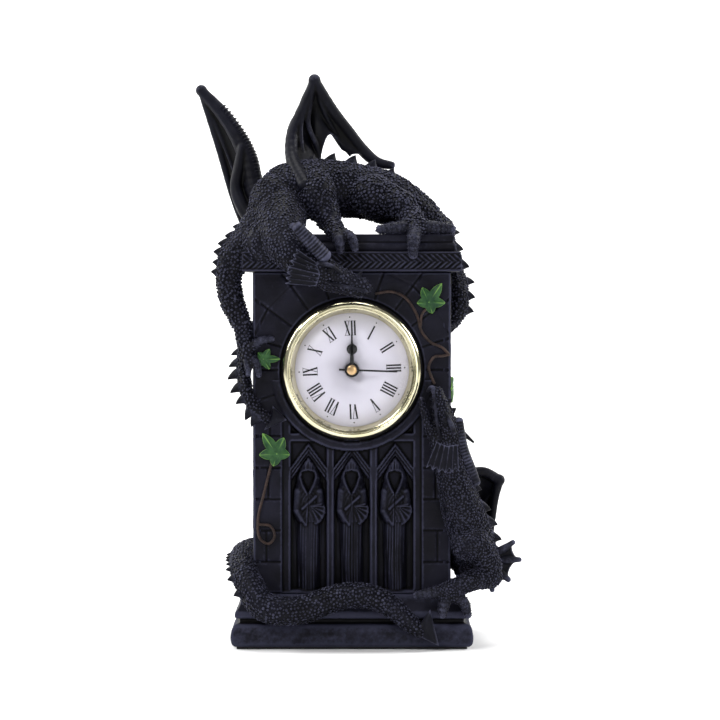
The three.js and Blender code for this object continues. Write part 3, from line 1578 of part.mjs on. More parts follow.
const leaves = {
  ivy_leaf_top: [31.6, 138.4, 11, -34, overStem],
  ivy_leaf_middle: [-33.4, 114.2, 8, -90, overStem],
  ivy_leaf_low: [-31, 78.6, 12, 35, overStem],
};
const aroundLeaves = [upperDragon, limb(lowerSkull, { sides: 10, grow: touch })];
for (const [name, [x, z, length, turn, depth]] of Object.entries(leaves))
  piece(name, carve(leaf(x, z + ivyHang, length, turn, depth), aroundLeaves), leafGreen);
piece("ivy_leaf_side", carve(cornerLeaf(right + 4.4, 102.4 + ivyHang, 9, 170), aroundLeaves), leafGreen);

piece("bezel", bezel(), gilt, insert);
piece("lens", lens(), glass, insert);
piece("reflector_ring", reflectorRing(), gilt, insert);
piece(
  "dial",
  carve(bar(dialRadius, -dialThickness, 0, 32), [bar(hourPipe + running, -2, 1)]),
  dialWhite,
  insert,
);
piece("insert_cup", insertCup(), plasticBlack, insert);
piece(
  "grip_band",
  pipe(cupRadius + gripThickness, cupRadius + slip, -3 - gripWidth, -3, 32),
  rubber,
  insert,
);
piece("back_cover", backCover(), plasticBlack, insert);
piece("dial_plate", dialPlate(), plasticWhite, insert);
piece("middle_plate", middlePlate(), plasticWhite, insert);
piece("rear_bridge", bridge(), plasticWhite, insert);
piece("stator", stator(), steel, insert);
piece("coil", coil(), copper, insert);
piece(
  "circuit_board",
  box([...boardLow, boardLevel], [...boardHigh, boardLevel + boardThickness]),
  boardGreen,
  insert,
);
piece(
  "quartz_crystal",
  bar(1, -3, 3, 12).rotateX(Math.PI / 2).translate(boardHigh[0] - 3, -11, boardLevel - 1 - slip),
  steel,
  insert,
);
piece("button_cell", at(bar(batteryRadius, batteryTop, batteryFloor, 20), batteryPlace), steel, insert);
piece("negative_contact", negativeContact(), brass, insert);
piece("positive_contact", positiveContact(), brass, insert);
piece("battery_cover", at(batteryCover(), batteryPlace), plasticBlack, insert);

piece("hour_wheel", hourWheel(), plasticWhite, insert);
piece(
  "hour_hand",
  ballHand(hourHandLength, handLevels.hour, 2.9, hourPipe + 0.05, 0.9, 0.5),
  handBlack,
  insert,
);
piece("cannon_pinion", cannonPinion(), brass, insert);
piece(
  "minute_hand",
  ballHand(minuteHandLength, handLevels.minute, 2.4, minutePipe + 0.05, 0.7, 0.3),
  handBlack,
  insert,
);
piece("reversing_wheel", reverseWheel(), plasticWhite, insert);
piece("setting_knob", settingKnob(), plasticBlack, insert);
piece("seconds_wheel", secondWheel(), steel, insert);
piece("second_hand", secondHand(), handBlack, insert);
piece("second_hand_cap", secondHandCap(), brass, insert);
piece("third_wheel", thirdWheel(), plasticWhite, insert);
piece("centre_wheel", centreWheel(), brass, insert);
piece("fifth_wheel", fifthWheel(), plasticWhite, insert);
piece("rotor", rotor(), steel, insert);

export default root;
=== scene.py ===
# %% [markdown]
# # Dressing a dragon clock
# The clock is a gothic tower cast in dark resin, with two dragons on it and a round gilt clock
# let into its front. The frame holds every solid at its real size. This lesson puts a detailed
# skin over each of them, in the same place and in metres, and leaves the frame as it is.

# %% Load the frame
import math

import bpy
import numpy as np
from mathutils import Matrix, Vector


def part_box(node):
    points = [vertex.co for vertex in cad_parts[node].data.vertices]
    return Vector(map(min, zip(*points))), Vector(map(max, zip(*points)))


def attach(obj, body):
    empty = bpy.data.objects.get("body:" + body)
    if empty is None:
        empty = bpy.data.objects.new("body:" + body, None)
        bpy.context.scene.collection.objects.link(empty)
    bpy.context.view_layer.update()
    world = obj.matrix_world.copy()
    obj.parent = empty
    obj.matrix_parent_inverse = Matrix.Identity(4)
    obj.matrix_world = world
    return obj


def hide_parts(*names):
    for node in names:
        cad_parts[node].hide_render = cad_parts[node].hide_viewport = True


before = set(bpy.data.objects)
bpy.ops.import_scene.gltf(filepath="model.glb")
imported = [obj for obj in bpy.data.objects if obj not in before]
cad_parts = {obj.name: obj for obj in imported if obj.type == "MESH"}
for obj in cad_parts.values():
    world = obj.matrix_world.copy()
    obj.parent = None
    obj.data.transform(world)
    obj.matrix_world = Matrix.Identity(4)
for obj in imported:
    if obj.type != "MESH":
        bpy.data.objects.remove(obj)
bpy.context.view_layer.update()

MM = 0.001

# %% [markdown]
# The levels and planes that the pieces hang on are read from the frame's own boxes, in
# millimetres. A dimension that is typed twice can drift, and one that is read can't.

# %% Read the levels
def corners(node):
    """The lowest and highest corner of a frame node, in millimetres."""
    low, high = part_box(node)
    return np.array(low) / MM, np.array(high) / MM


tower_low, tower_high = corners("tower")
plinth_low, plinth_high = corners("plinth")
cornice_low, cornice_high = corners("cornice")
dial_low, dial_high = corners("dial")
left, right = tower_low[0], tower_high[0]
front, back = tower_low[1], tower_high[1]
tower_bottom, tower_top = tower_low[2], tower_high[2]
top = cornice_high[2]
cornice_front = cornice_low[1]
slab_front = cornice_front + 2.3
plinth_front = plinth_low[1]
plinth_bottom, plinth_top = plinth_low[2], plinth_high[2]
cove_bottom = plinth_top - 6.6
step_bottom = cove_bottom - 2.4
dial_z = (dial_low[2] + dial_high[2]) / 2
print("tower front", front, "top", round(top, 2), "dial centre", round(dial_z, 2))

# %% [markdown]
# The floor, the light and the camera come first, because every later choice is judged through
# them. The picture is a studio shot against white, so the floor curves up into a pale wall and
# the lights are large and soft. A long lens from nearly a metre away keeps the tower's sides
# upright, and the camera is aimed by tilting it a little rather than by shifting the lens.

# %% Floor, lights and camera
def backdrop():
    """A pale floor that curves up into a wall behind the clock."""
    width, near, far, height, bend = 3.0, -2.2, 1.6, 2.6, 0.7
    arc = [math.radians(a) for a in range(0, 91, 10)]
    profile = [(far - bend + bend * math.sin(a), bend - bend * math.cos(a)) for a in arc]
    profile = [(near, 0.0), *profile, (far, height)]
    points = [(side * width, y, z) for y, z in profile for side in (-1, 1)]
    faces = [(2 * i, 2 * i + 1, 2 * i + 3, 2 * i + 2) for i in range(len(profile) - 1)]
    mesh = bpy.data.meshes.new("backdrop")
    mesh.from_pydata(points, [], faces)
    mesh.shade_smooth()
    sheet = bpy.data.objects.new("backdrop", mesh)
    bpy.context.scene.collection.objects.link(sheet)
    paper = bpy.data.materials.new("backdrop_paper")
    paper.use_nodes = True
    surface = paper.node_tree.nodes["Principled BSDF"]
    surface.inputs["Base Color"].default_value = (0.86, 0.86, 0.86, 1)
    surface.inputs["Roughness"].default_value = 0.9
    mesh.materials.append(paper)


def stand(name, data, place, aim):
    """An object at a place, turned towards its aim."""
    thing = bpy.data.objects.new(name, data)
    thing.location = place
    thing.rotation_euler = (Vector(aim) - Vector(place)).to_track_quat("-Z", "Y").to_euler()
    bpy.context.scene.collection.objects.link(thing)
    return thing


def soft_light(name, place, aim, size, watts):
    """A square soft box at a place, turned towards what it lights."""
    lamp = bpy.data.lights.new(name, "AREA")
    lamp.size = size
    lamp.energy = watts
    stand(name, lamp, place, aim)


def camera_at(place, aim, view_width):
    """A camera whose picture is as wide as view_width at the distance of its aim."""
    lens = bpy.data.cameras.new("camera")
    distance = (Vector(aim) - Vector(place)).length
    lens.lens = lens.sensor_width * distance / view_width
    bpy.context.scene.camera = stand("camera", lens, place, aim)


backdrop()
world = bpy.data.worlds.new("studio")
world.use_nodes = True
sky = world.node_tree.nodes["Background"]
sky.inputs["Color"].default_value = (1, 1, 1, 1)
sky.inputs["Strength"].default_value = 0.24
bpy.context.scene.world = world
soft_light("key", (-0.6, -0.75, 0.85), (0, 0, 0.12), 0.35, 7.4)
soft_light("fill", (0.45, -1.0, 0.22), (0, 0, 0.06), 0.6, 3.4)
soft_light("overhead", (0.0, 0.05, 1.1), (0, 0, 0.0), 0.6, 9)
soft_light("wall_left", (-1.5, 0.3, 1.0), (-0.2, 1.6, 0.5), 1.0, 45)
soft_light("wall_right", (1.5, 0.3, 1.0), (0.2, 1.6, 0.5), 1.0, 45)
camera_x, picture_width = 0.0032, 0.2849
camera_at((camera_x, -1.0, 0.14), (camera_x, front * MM, 0.114), picture_width)
bpy.context.scene.view_settings.view_transform = "Standard"

# %% [markdown]
# Most pieces are made as plain lists of points and faces, in millimetres, and become an object
# only at the end. A shape here is a pair: its points, and its faces as lists of point numbers.
# A closed shape that comes out inside out is turned round by the sign of its volume. Joints are
# given as short rows, each measured from the same three levels, which `hang` adds to them.

# %% Shapes and objects
def outward(points, faces):
    """Turns a closed shape's faces so that they point out of it."""
    volume = 0.0
    for face in faces:
        a = points[face[0]]
        for i in range(1, len(face) - 1):
            volume += np.dot(a, np.cross(points[face[i]], points[face[i + 1]]))
    return (points, faces) if volume > 0 else (points, [face[::-1] for face in faces])


def join(*shapes):
    """Puts several shapes in one."""
    points, faces, start = [], [], 0
    for shape_points, shape_faces in shapes:
        points.append(np.asarray(shape_points, float))
        faces += [[i + start for i in face] for face in shape_faces]
        start += len(shape_points)
    return np.vstack(points), faces


def numbered(rows, columns):
    """The point numbers of a grid, row by row."""
    return np.arange(rows * columns).reshape(rows, columns)


def ring_walls(index):
    """The squares between rings of points, whose numbers are the rows of a grid."""
    after = np.roll(index, -1, axis=1)
    return np.stack([index[:-1], after[:-1], after[1:], index[1:]], -1).reshape(-1, 4).tolist()


def rim_of(index):
    """The outermost point numbers of a grid, all the way round."""
    return np.r_[index[0, :-1], index[:-1, -1], index[-1, :0:-1], index[:0:-1, 0]]


def walked_along(points):
    """How far along a line each of its points lies."""
    return np.r_[0, np.cumsum(np.linalg.norm(np.diff(points, axis=0), axis=1))]


def read_off(at, marks, points):
    """Points at some places along a line, whose own points lie at the marks."""
    points = np.asarray(points, float)
    return np.stack([np.interp(at, marks, column) for column in points.T], 1)


def hang(x, y, z, *rows):
    """Rows that start with a place, each measured from the same three levels."""
    return [(x + across, y + deep, z + up, *rest) for across, deep, up, *rest in rows]


def object_from(name, shape):
    """A smooth-shaded object at the origin, from a shape in millimetres."""
    points, faces = shape
    mesh = bpy.data.meshes.new(name)
    mesh.from_pydata((np.asarray(points) * MM).tolist(), [], faces)
    mesh.shade_smooth()
    thing = bpy.data.objects.new(name, mesh)
    bpy.context.scene.collection.objects.link(thing)
    return thing


def bake_down(thing):
    """Replaces an object's mesh by what its modifiers make of it, and removes them."""
    graph = bpy.context.evaluated_depsgraph_get()
    mesh = bpy.data.meshes.new_from_object(thing.evaluated_get(graph), depsgraph=graph)
    thing.modifiers.clear()
    thing.data = mesh
    return thing


def points_of(mesh):
    """A mesh's points, in millimetres."""
    flat = np.empty(len(mesh.vertices) * 3, np.float32)
    mesh.vertices.foreach_get("co", flat)
    return flat.reshape(-1, 3).astype(float) / MM


# %% [markdown]
# Dry brushing is how such a casting gets its life: a nearly dry brush of pale paint is dragged
# over the dark resin, and it only catches what stands out. The same thing is worked out here
# once for each mesh. Its points are averaged with their neighbours a few times, and how far a
# point stands outside that softened surface is stored on it as an attribute. Below zero it
# marks the joints and creases, which the finish darkens as painted shade.

# %% Where a dry brush would catch, and where shade is painted
def mark_high_spots(mesh, rounds=8, full=0.16, lift=0.0):
    """Stores, for dry brushing and painted shade, 1 where a point is `full` millimetres proud, -1 where
    as deep, plus lift.
    """
    points = points_of(mesh)
    count = len(points)
    pairs = np.empty(len(mesh.edges) * 2, np.int32)
    mesh.edges.foreach_get("vertices", pairs)
    here, there = np.r_[pairs[0::2], pairs[1::2]], np.r_[pairs[1::2], pairs[0::2]]
    degree = np.maximum(np.bincount(here, minlength=count), 1)[:, None]
    soft = points
    for _ in range(rounds):
        around = np.stack([np.bincount(here, soft[there, axis], count) for axis in range(3)], 1)
        soft = 0.4 * soft + 0.6 * around / degree
    normals = np.empty(count * 3, np.float32)
    mesh.vertex_normals.foreach_get("vector", normals)
    proud = ((points - soft) * normals.reshape(-1, 3)).sum(1)
    layer = mesh.attributes.get("brush_and_shade") or mesh.attributes.new("brush_and_shade", "FLOAT", "POINT")
    layer.data.foreach_set("value", np.clip(proud / full + lift, -1, 1).astype(np.float32))


# %% [markdown]
# Node trees are written with one small helper. It adds a node, and for each named input it
# either plugs in another node's output or sets a plain value. Materials and Geometry Nodes
# both use it, so a tree reads from top to bottom like a recipe.

# %% A helper for node trees
def add(tree, kind, values=None, **settings):
    """Adds a node, sets its properties, and fills its inputs by name or number."""
    node = tree.nodes.new(kind)
    for key, value in settings.items():
        setattr(node, key, value)
    for key, value in (values or {}).items():
        if isinstance(key, int):
            socket = node.inputs[key]
        else:
            socket = next(s for s in node.inputs if s.name == key and s.enabled)
        if isinstance(value, bpy.types.NodeSocket):
            tree.links.new(value, socket)
        elif value is not None:
            socket.default_value = value
    return node


# %% [markdown]
# Each finish is a small shader tree on Object coordinates, so its grain stays the same size on
# every piece and doesn't slide. The resin is near black with a cold cast. Its dry brushing
# follows how far each point stands out, broken up by the streaks of bristles and by broader
# smears, its joints and creases get painted shade, and fine bump gives the cast skin.

# %% The finish of the castings
finishes = {}


def new_finish(name):
    """An empty material with its output, its surface shader and Object coordinates."""
    material = bpy.data.materials.new(name)
    material.use_nodes = True
    tree = material.node_tree
    surface = tree.nodes["Principled BSDF"]
    where = add(tree, "ShaderNodeTexCoord").outputs["Object"]
    finishes[name] = material
    return tree, surface, where


def noise(tree, where, per_metre, detail=3.0, rough=0.6):
    """Noise with about this many features to the metre."""
    values = {"Vector": where, "Scale": per_metre, "Detail": detail, "Roughness": rough}
    return add(tree, "ShaderNodeTexNoise", values).outputs["Fac"]


def ramp(tree, value, low, high, out_low=0.0, out_high=1.0):
    """Maps a value smoothly from one range to another."""
    values = {"Value": value, "From Min": low, "From Max": high}
    values.update({"To Min": out_low, "To Max": out_high})
    smooth = add(tree, "ShaderNodeMapRange", values, interpolation_type="SMOOTHSTEP")
    return smooth.outputs["Result"]


def blend_colours(tree, share, first, second):
    """Mixes two colours by a share."""
    node = add(tree, "ShaderNodeMix", {0: share}, data_type="RGBA")
    for socket, value in ((node.inputs[6], first), (node.inputs[7], second)):
        if isinstance(value, bpy.types.NodeSocket):
            tree.links.new(value, socket)
        else:
            socket.default_value = (*value, 1)
    return node.outputs[2]


def math_node(tree, operation, first, second):
    """One sum on two values."""
    return add(tree, "ShaderNodeMath", {0: first, 1: second}, operation=operation).outputs[0]


def bump(tree, surface, height, strength, distance):
    """Plugs a height into the surface's normal."""
    values = {"Height": height, "Strength": strength, "Distance": distance}
    tree.links.new(add(tree, "ShaderNodeBump", values).outputs["Normal"], surface.inputs["Normal"])


def resin(name, deep, plain, brushed, grain, gloss, catch):
    """Dark cast resin, dry brushed where it stands out, with painted shade in its joints and creases. The
    less catch is, the more easily the dry brushing catches.
    """
    tree, surface, where = new_finish(name)
    proud = add(tree, "ShaderNodeAttribute", attribute_name="brush_and_shade").outputs["Fac"]
    bristles = noise(tree, where, grain, 4.0, 0.7)
    smears = noise(tree, where, 260.0, 3.0)
    patches = noise(tree, where, 45.0, 2.0)
    base = blend_colours(tree, ramp(tree, patches, 0.35, 0.68), deep, plain)
    # Painted shade: joints and creases are darkened towards a quarter of the deepest tone.
    painted_crease_shade = tuple(0.25 * c for c in deep)
    base = blend_colours(tree, ramp(tree, proud, -0.7, -0.08), painted_crease_shade, base)
    streaky = 0.85
    uneven = math_node(tree, "MULTIPLY_ADD", math_node(tree, "ADD", bristles, smears), streaky)
    uneven.node.inputs[2].default_value = -streaky
    caught = math_node(tree, "ADD", proud, uneven)
    share = ramp(tree, caught, 0.16, catch)
    tree.links.new(blend_colours(tree, share, base, brushed), surface.inputs["Base Color"])
    tree.links.new(ramp(tree, share, 0.0, 1.0, gloss, gloss + 0.16), surface.inputs["Roughness"])
    surface.inputs["Specular IOR Level"].default_value = 0.08
    bump(tree, surface, noise(tree, where, grain * 1.6, 5.0, 0.72), 0.35, 0.00025)


stone_tones = (0.0032, 0.0032, 0.006), (0.0086, 0.0086, 0.0162), (0.027, 0.028, 0.048)
scale_tones = (0.0022, 0.0023, 0.0044), (0.0052, 0.0054, 0.0102), (0.056, 0.058, 0.094)
resin("stone_resin", *stone_tones, 900.0, 0.52, 0.95)
resin("scale_resin", *scale_tones, 1100.0, 0.44, 1.15)
print("castings:", list(finishes))

# %% [markdown]
# The rest of the finishes are quieter. The ivy is hand painted, so its green wanders from blue
# to yellow. Plated and plain metals differ in colour and in how much their polish varies. Felt
# and rubber are rough with a fine nap. Numbers that hold over the whole surface sit on the
# shader itself.

# %% The other finishes
def painted(name, shade, light, per_metre, roughness, relief=0.0001, shine=0.5):
    """Paint, card, plastic or cloth: two close shades in patches, and a fine bump."""
    tree, surface, where = new_finish(name)
    patches = noise(tree, where, per_metre, 4.0, 0.65)
    colour = blend_colours(tree, ramp(tree, patches, 0.3, 0.7), shade, light)
    tree.links.new(colour, surface.inputs["Base Color"])
    fine = noise(tree, where, per_metre * 5, 3.0)
    worn = ramp(tree, fine, 0.2, 0.8, roughness - 0.06, roughness + 0.06)
    tree.links.new(worn, surface.inputs["Roughness"])
    surface.inputs["Specular IOR Level"].default_value = shine
    bump(tree, surface, fine, 0.3, relief)
    return tree, surface


def metal(name, dull, bright, per_metre, roughness):
    """Metal whose polish wanders a little."""
    tree, surface, where = new_finish(name)
    wear = noise(tree, where, per_metre, 4.0, 0.6)
    colour = blend_colours(tree, ramp(tree, wear, 0.3, 0.7), dull, bright)
    tree.links.new(colour, surface.inputs["Base Color"])
    polish = ramp(tree, wear, 0.2, 0.8, roughness, roughness + 0.1)
    tree.links.new(polish, surface.inputs["Roughness"])
    surface.inputs["Metallic"].default_value = 1.0


def leaf_paint():
    """Green in patches, and yellow on the raised veins."""
    shade, light = (0.005, 0.03, 0.011), (0.028, 0.085, 0.024)
    tree, surface = painted("leaf_paint", shade, light, 210.0, 0.5, shine=0.2)
    green = surface.inputs["Base Color"].links[0].from_socket
    proud = add(tree, "ShaderNodeAttribute", attribute_name="brush_and_shade").outputs["Fac"]
    veined = blend_colours(tree, ramp(tree, proud, 0.1, 0.8), green, (0.12, 0.25, 0.05))
    tree.links.new(veined, surface.inputs["Base Color"])


def clear_lens():
    """Clear glass that lets the light through to the dial, so it is nearly all alpha."""
    tree, surface, where = new_finish("clear_glass")
    surface.inputs["Base Color"].default_value = (0.03, 0.03, 0.034, 1)
    surface.inputs["Alpha"].default_value = 0.08
    haze = noise(tree, where, 60.0)
    tree.links.new(ramp(tree, haze, 0.3, 0.7, 0.03, 0.06), surface.inputs["Roughness"])


leaf_paint()
painted("stem_paint", (0.012, 0.0075, 0.007), (0.04, 0.024, 0.02), 420.0, 0.55, shine=0.2)
painted("felt", (0.006, 0.006, 0.007), (0.016, 0.016, 0.018), 1500.0, 0.9, 0.0003)
painted("dial_card", (0.71, 0.69, 0.8), (0.75, 0.73, 0.84), 90.0, 0.4, 0.00002)
painted("black_sheet", (0.004, 0.004, 0.005), (0.008, 0.008, 0.01), 300.0, 0.35, 0.00003)
painted("white_plastic", (0.72, 0.7, 0.64), (0.8, 0.78, 0.73), 120.0, 0.45)
painted("black_plastic", (0.008, 0.008, 0.009), (0.014, 0.014, 0.015), 500.0, 0.42)
painted("black_rubber", (0.01, 0.01, 0.01), (0.02, 0.02, 0.02), 700.0, 0.75)
painted("board_green", (0.012, 0.08, 0.035), (0.02, 0.12, 0.055), 400.0, 0.35)
metal("gilt_metal", (0.6, 0.56, 0.36), (0.74, 0.7, 0.5), 70.0, 0.12)
metal("brass_sheet", (0.62, 0.4, 0.18), (0.78, 0.54, 0.3), 300.0, 0.25)
metal("steel", (0.45, 0.45, 0.47), (0.62, 0.62, 0.64), 400.0, 0.28)
metal("copper_wire", (0.5, 0.2, 0.09), (0.66, 0.3, 0.15), 900.0, 0.3)
clear_lens()
print("finishes:", len(finishes))

# %% [markdown]
# The frame's own solids carry the name of their slot as a material, so one loop gives each of
# them its finish. Those that stay in view, such as the wheels, the battery and the plates, are
# done with that. The others are replaced further down.

# %% Finish the frame's own solids
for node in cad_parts.values():
    for seat in node.material_slots:
        seat.material = finishes[seat.material.name.split(".")[0]]


def dress(piece, slot, body="case", replaces=()):
    """Gives a finished piece its finish, the body it rides on and the nodes it stands for."""
    piece.data.materials.clear()
    piece.data.materials.append(finishes[slot])
    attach(piece, body)
    if replaces:
        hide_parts(*replaces)
    print(f"{piece.name}: {len(piece.data.polygons)} faces on {body}")
    return piece


def brushed(name, shape, slot="stone_resin", replaces=(), rounds=8, full=0.16, lift=0.0):
    """A casting: an object from a shape, with its high spots marked."""
    piece = object_from(name, shape)
    mark_high_spots(piece.data, rounds, full, lift)
    return dress(piece, slot, "case", replaces)


# %% [markdown]
# ## The tower's walls
# A cast wall is a relief: nothing on it is undercut, or it would never leave the mould. So each
# wall is a fine grid, and one formula says how high every point stands. Noise for the stone,
# grooves for the joints, sinks for the window and swells for the mouldings all add up in it.
# Modelling each stone by hand would give the same look with far more pieces to keep in step.

# %% Tools for reliefs
def smooth_step(t):
    """An even slope from 0 to 1, with its start and end eased."""
    return t * t * (3 - 2 * t)


def hills(u, v, size, seed):
    """Smooth random hills between -1 and 1, about `size` millimetres apart."""
    repeat = 97
    cells = np.random.default_rng(seed).uniform(-1, 1, (repeat, repeat))
    i, j = np.floor(u / size).astype(int), np.floor(v / size).astype(int)
    s, t = smooth_step(u / size - i), smooth_step(v / size - j)
    i, j = i % repeat, j % repeat
    next_i, next_j = (i + 1) % repeat, (j + 1) % repeat
    near = cells[i, j] * (1 - s) + cells[next_i, j] * s
    far = cells[i, next_j] * (1 - s) + cells[next_i, next_j] * s
    return near * (1 - t) + far * t


def rough_stone(u, v, seed):
    """The unevenness of dressed stone, in millimetres."""
    return (
        0.13 * hills(u, v, 7.0, seed)
        + 0.07 * hills(u, v, 2.4, seed + 1)
        + 0.035 * hills(u, v, 0.9, seed + 2)
    )


def ease(distance, soft=0.25):
    """0 well outside an edge and 1 well inside it, from a signed distance."""
    return smooth_step(np.clip((distance / soft + 1) / 2, 0, 1))


def sink(height, distance, level, soft=0.25):
    """Brings the surface to a level wherever the distance is inside."""
    share = ease(distance, soft)
    return height * (1 - share) + level * share


def groove(distance, depth=0.7, width=0.8):
    """A rounded joint line along distance 0."""
    return -depth * np.exp(-((distance / (0.55 * width)) ** 2))


def off_joint(value, pitch):
    """The signed distance to the nearest of many even joints."""
    return np.mod(value + pitch / 2, pitch) - pitch / 2


def within(u, v, u_low, u_high, v_low, v_high):
    """The distance into a rectangle, negative outside it."""
    return np.minimum(np.minimum(u - u_low, u_high - u), np.minimum(v - v_low, v_high - v))


# %% [markdown]
# A wall becomes solid by folding its grid back at the rim: the outer edge of the grid is joined
# to a smaller loop behind it, and that loop is closed with one face. Where two walls meet, each
# falls away along the same quarter circle, so together they make one rounded corner.

# %% A solid wall from a relief
corner_radius = 0.8


def rounded_rim(u, v, bounds):
    """How far a wall falls away near its outer edge."""
    edge = np.minimum(within(u, v, *bounds), corner_radius)
    return corner_radius - np.sqrt(np.maximum(corner_radius**2 - (corner_radius - edge) ** 2, 0))


def grid_faces(rows, columns):
    """The squares of a grid of points, row by row."""
    index = numbered(rows, columns)
    square = [index[:-1, :-1], index[:-1, 1:], index[1:, 1:], index[1:, :-1]]
    return np.stack(square, -1).reshape(-1, 4).tolist()


def wall(bounds, pitch, height, place, thickness, inset):
    """A closed slab whose face follows height(u, v). place(u, v, h) puts it in space."""
    u_low, u_high, v_low, v_high = bounds
    across = np.linspace(u_low, u_high, round((u_high - u_low) / pitch) + 1)
    upward = np.linspace(v_low, v_high, round((v_high - v_low) / pitch) + 1)
    u, v = np.meshgrid(across, upward)
    h = height(u, v) - rounded_rim(u, v, bounds)
    points = [place(u, v, h).reshape(-1, 3)]
    rim = rim_of(numbered(*u.shape))
    in_u = np.clip(u.ravel()[rim], u_low + inset, u_high - inset)
    in_v = np.clip(v.ravel()[rim], v_low + inset, v_high - inset)
    faces = grid_faces(*u.shape)
    before = rim
    for depth in (corner_radius + inset, thickness):
        start = sum(len(p) for p in points)
        points.append(place(in_u, in_v, np.full(len(rim), -depth)))
        ring = np.arange(start, start + len(rim))
        faces += np.stack([np.roll(before, -1), before, ring, np.roll(ring, -1)], 1).tolist()
        before = ring
    faces.append(before[::-1].tolist())
    return np.vstack(points), faces


# %% [markdown]
# The three niches each hold a hooded figure, whose hood is empty. Its relief is built from
# a few rounded masses and bars: a cloak behind, a narrow pleated robe, sleeves that cross in
# front with one cuff fanning out, and a pointed hood whose opening is sunk back into shadow.

# %% A hooded figure's relief
def bar_relief(u, v, start, end, radius, height):
    """A rounded bar between two points, `height` tall on its centre line."""
    (u0, v0), (u1, v1) = start, end
    length = (u1 - u0) ** 2 + (v1 - v0) ** 2
    t = np.clip(((u - u0) * (u1 - u0) + (v - v0) * (v1 - v0)) / length, 0, 1)
    distance = np.hypot(u - u0 - t * (u1 - u0), v - v0 - t * (v1 - v0))
    return height * np.sqrt(np.clip(1 - (distance / radius) ** 2, 0, 1))


def profile_at(v, knots):
    """A half-width read off a short list of (height, half-width)."""
    heights, halves = zip(*knots)
    return np.interp(v, heights, halves, 0, 0)


def rounded_mass(u, v, knots, height, middle=0.0, power=2):
    """A mass with a rounded front, whose half-width follows a list of (height, half-width)."""
    half = np.maximum(profile_at(v, knots), 0.01)
    return height * np.sqrt(np.clip(1 - np.abs((u - middle) / half) ** power, 0, 1))


def fan_relief(u, v, hinge, radius, height, ribs):
    """Cloth that hangs from a hinge and fans out to the right and down."""
    du, dv = u - hinge[0], v - hinge[1]
    reach, swing = np.hypot(du, dv), np.degrees(np.arctan2(-dv, du))
    inside = (swing > -4) & (swing < 78) & (reach < radius + 0.03 * swing)
    return np.where(inside, height + 0.5 * np.cos(math.pi * ribs * swing / 43), 0)


def figure_relief(u, v):
    """How far the figure stands out of its niche. u is across and v up from its foot."""
    cloak = rounded_mass(u, v, [(0, 4.4), (26, 4.9), (29, 6.2), (45, 5.2), (45.5, 0)], 1.5)
    cloak += 0.4 * np.cos(u * 3.4 + 0.5 * np.sin(v / 8)) * (cloak > 0.6)
    robe = rounded_mass(u, v, [(0, 3.3), (12, 3.7), (30, 4.3)], 4.0, 0.1)
    pleats = 0.24 * np.cos(u * 5.8 + 0.9 * np.sin(v / 6)) + 0.12 * np.cos(u * 11 + v / 5)
    robe += pleats * (robe > 1)
    chest_knots = [(27.0, 4.4), (30, 6.2), (34, 6.2), (39, 5.7), (42, 4.9), (44, 4.2)]
    chest = rounded_mass(u, v, chest_knots, 4.4, power=2.4)
    chest += 0.2 * np.cos(4.6 * np.abs(u) + 2.2 * v + np.sin(v)) * (chest > 1.5)
    body = np.maximum(np.maximum(cloak, robe), chest)
    bars = [
        ((-3.8, 39.0), (-4.3, 32.0), 2.1, 4.5), ((3.8, 39.0), (4.3, 34.0), 2.1, 4.5),
        ((-4.4, 31.6), (-2.6, 28.2), 1.9, 4.9), ((-2.4, 28.0), (-1.1, 26.0), 1.1, 5.0),
        ((-0.4, 33.0), (-0.9, 26.0), 0.7, 5.1), ((3.0, 37.4), (-2.4, 32.4), 1.2, 5.5),
        ((4.9, 34.2), (1.0, 33.4), 1.1, 5.0),
    ]
    for start, end, radius, height in bars:
        body = np.maximum(body, bar_relief(u, v, start, end, radius, height))
    body = np.maximum(body, fan_relief(u, v, (1.0, 33.4), 5.4, 4.6, 4))
    hood_knots = [(38.6, 2.6), (41.0, 4.4), (44.6, 4.7), (47.4, 3.6), (50.2, 2.7), (52.0, 1.5)]
    hood = rounded_mass(u, v, [*hood_knots, (52.8, 0)], 5.4)
    hood += 0.16 * np.cos(u * 5.4) * (v > 47.8) * (hood > 1)
    body = np.maximum(body, hood)
    opening_knots = [(38.4, 0), (42.3, 1.9), (45, 2.75), (46.9, 2.5), (47.6, 0)]
    opening = profile_at(v, opening_knots) - np.abs(u + 0.2)
    rim = 0.4 * np.exp(-(((opening + 0.35) / 0.4) ** 2)) * (v > 37.5) * (v < 48.4)
    return sink(body + rim, opening, 0.9, 0.25)


# %% [markdown]
# The front wall gathers it all: wedge-shaped stones round the upper half of the dial, courses
# up both sides, and below the dial a window frame with a beam, posts and three pointed bays
# whose arches are nested in three steps. A round seat is left for the clock.

# %% The front wall's relief
window_half = right - 10.2 - 1.4
post_width = 3.3
mullion_width = 3.0
niche_width = (2 * (window_half - post_width) - 2 * mullion_width) / 3
niche_pitch = niche_width + mullion_width
niche_bottom = tower_bottom + 1.2
niche_top = niche_bottom + 58.4
arch_rise = 9.6
arch_bars = 3
arch_bar = 0.82
arch_pitch = 1.12
beam_bottom = niche_top + 0.8
beam_top = beam_bottom + 3.2
course = 12.5
wedge = 18.0
wedge_end = 40.6
seat_radius = 28.6
seat_depth = 1.6
bore_radius = 25.8
bore_depth = 25.0


def round_stones(z, r, angle):
    """The joints of the wedge-shaped stones and of the corner stones behind them."""
    radial = np.abs(r * np.sin(np.radians(off_joint(angle, wedge))))
    middle = np.mod(angle, wedge) - wedge / 2
    chord = r * np.cos(np.radians(middle)) - wedge_end
    upper = ease(z - dial_z + 14, 1.0)
    joints = groove(radial) * ease(r - seat_radius - 0.6, 0.5) * upper
    odd = np.mod(np.floor(angle / wedge), 2) == 0
    return joints + groove(chord) * upper * np.where(odd, 1.0, 0.35)


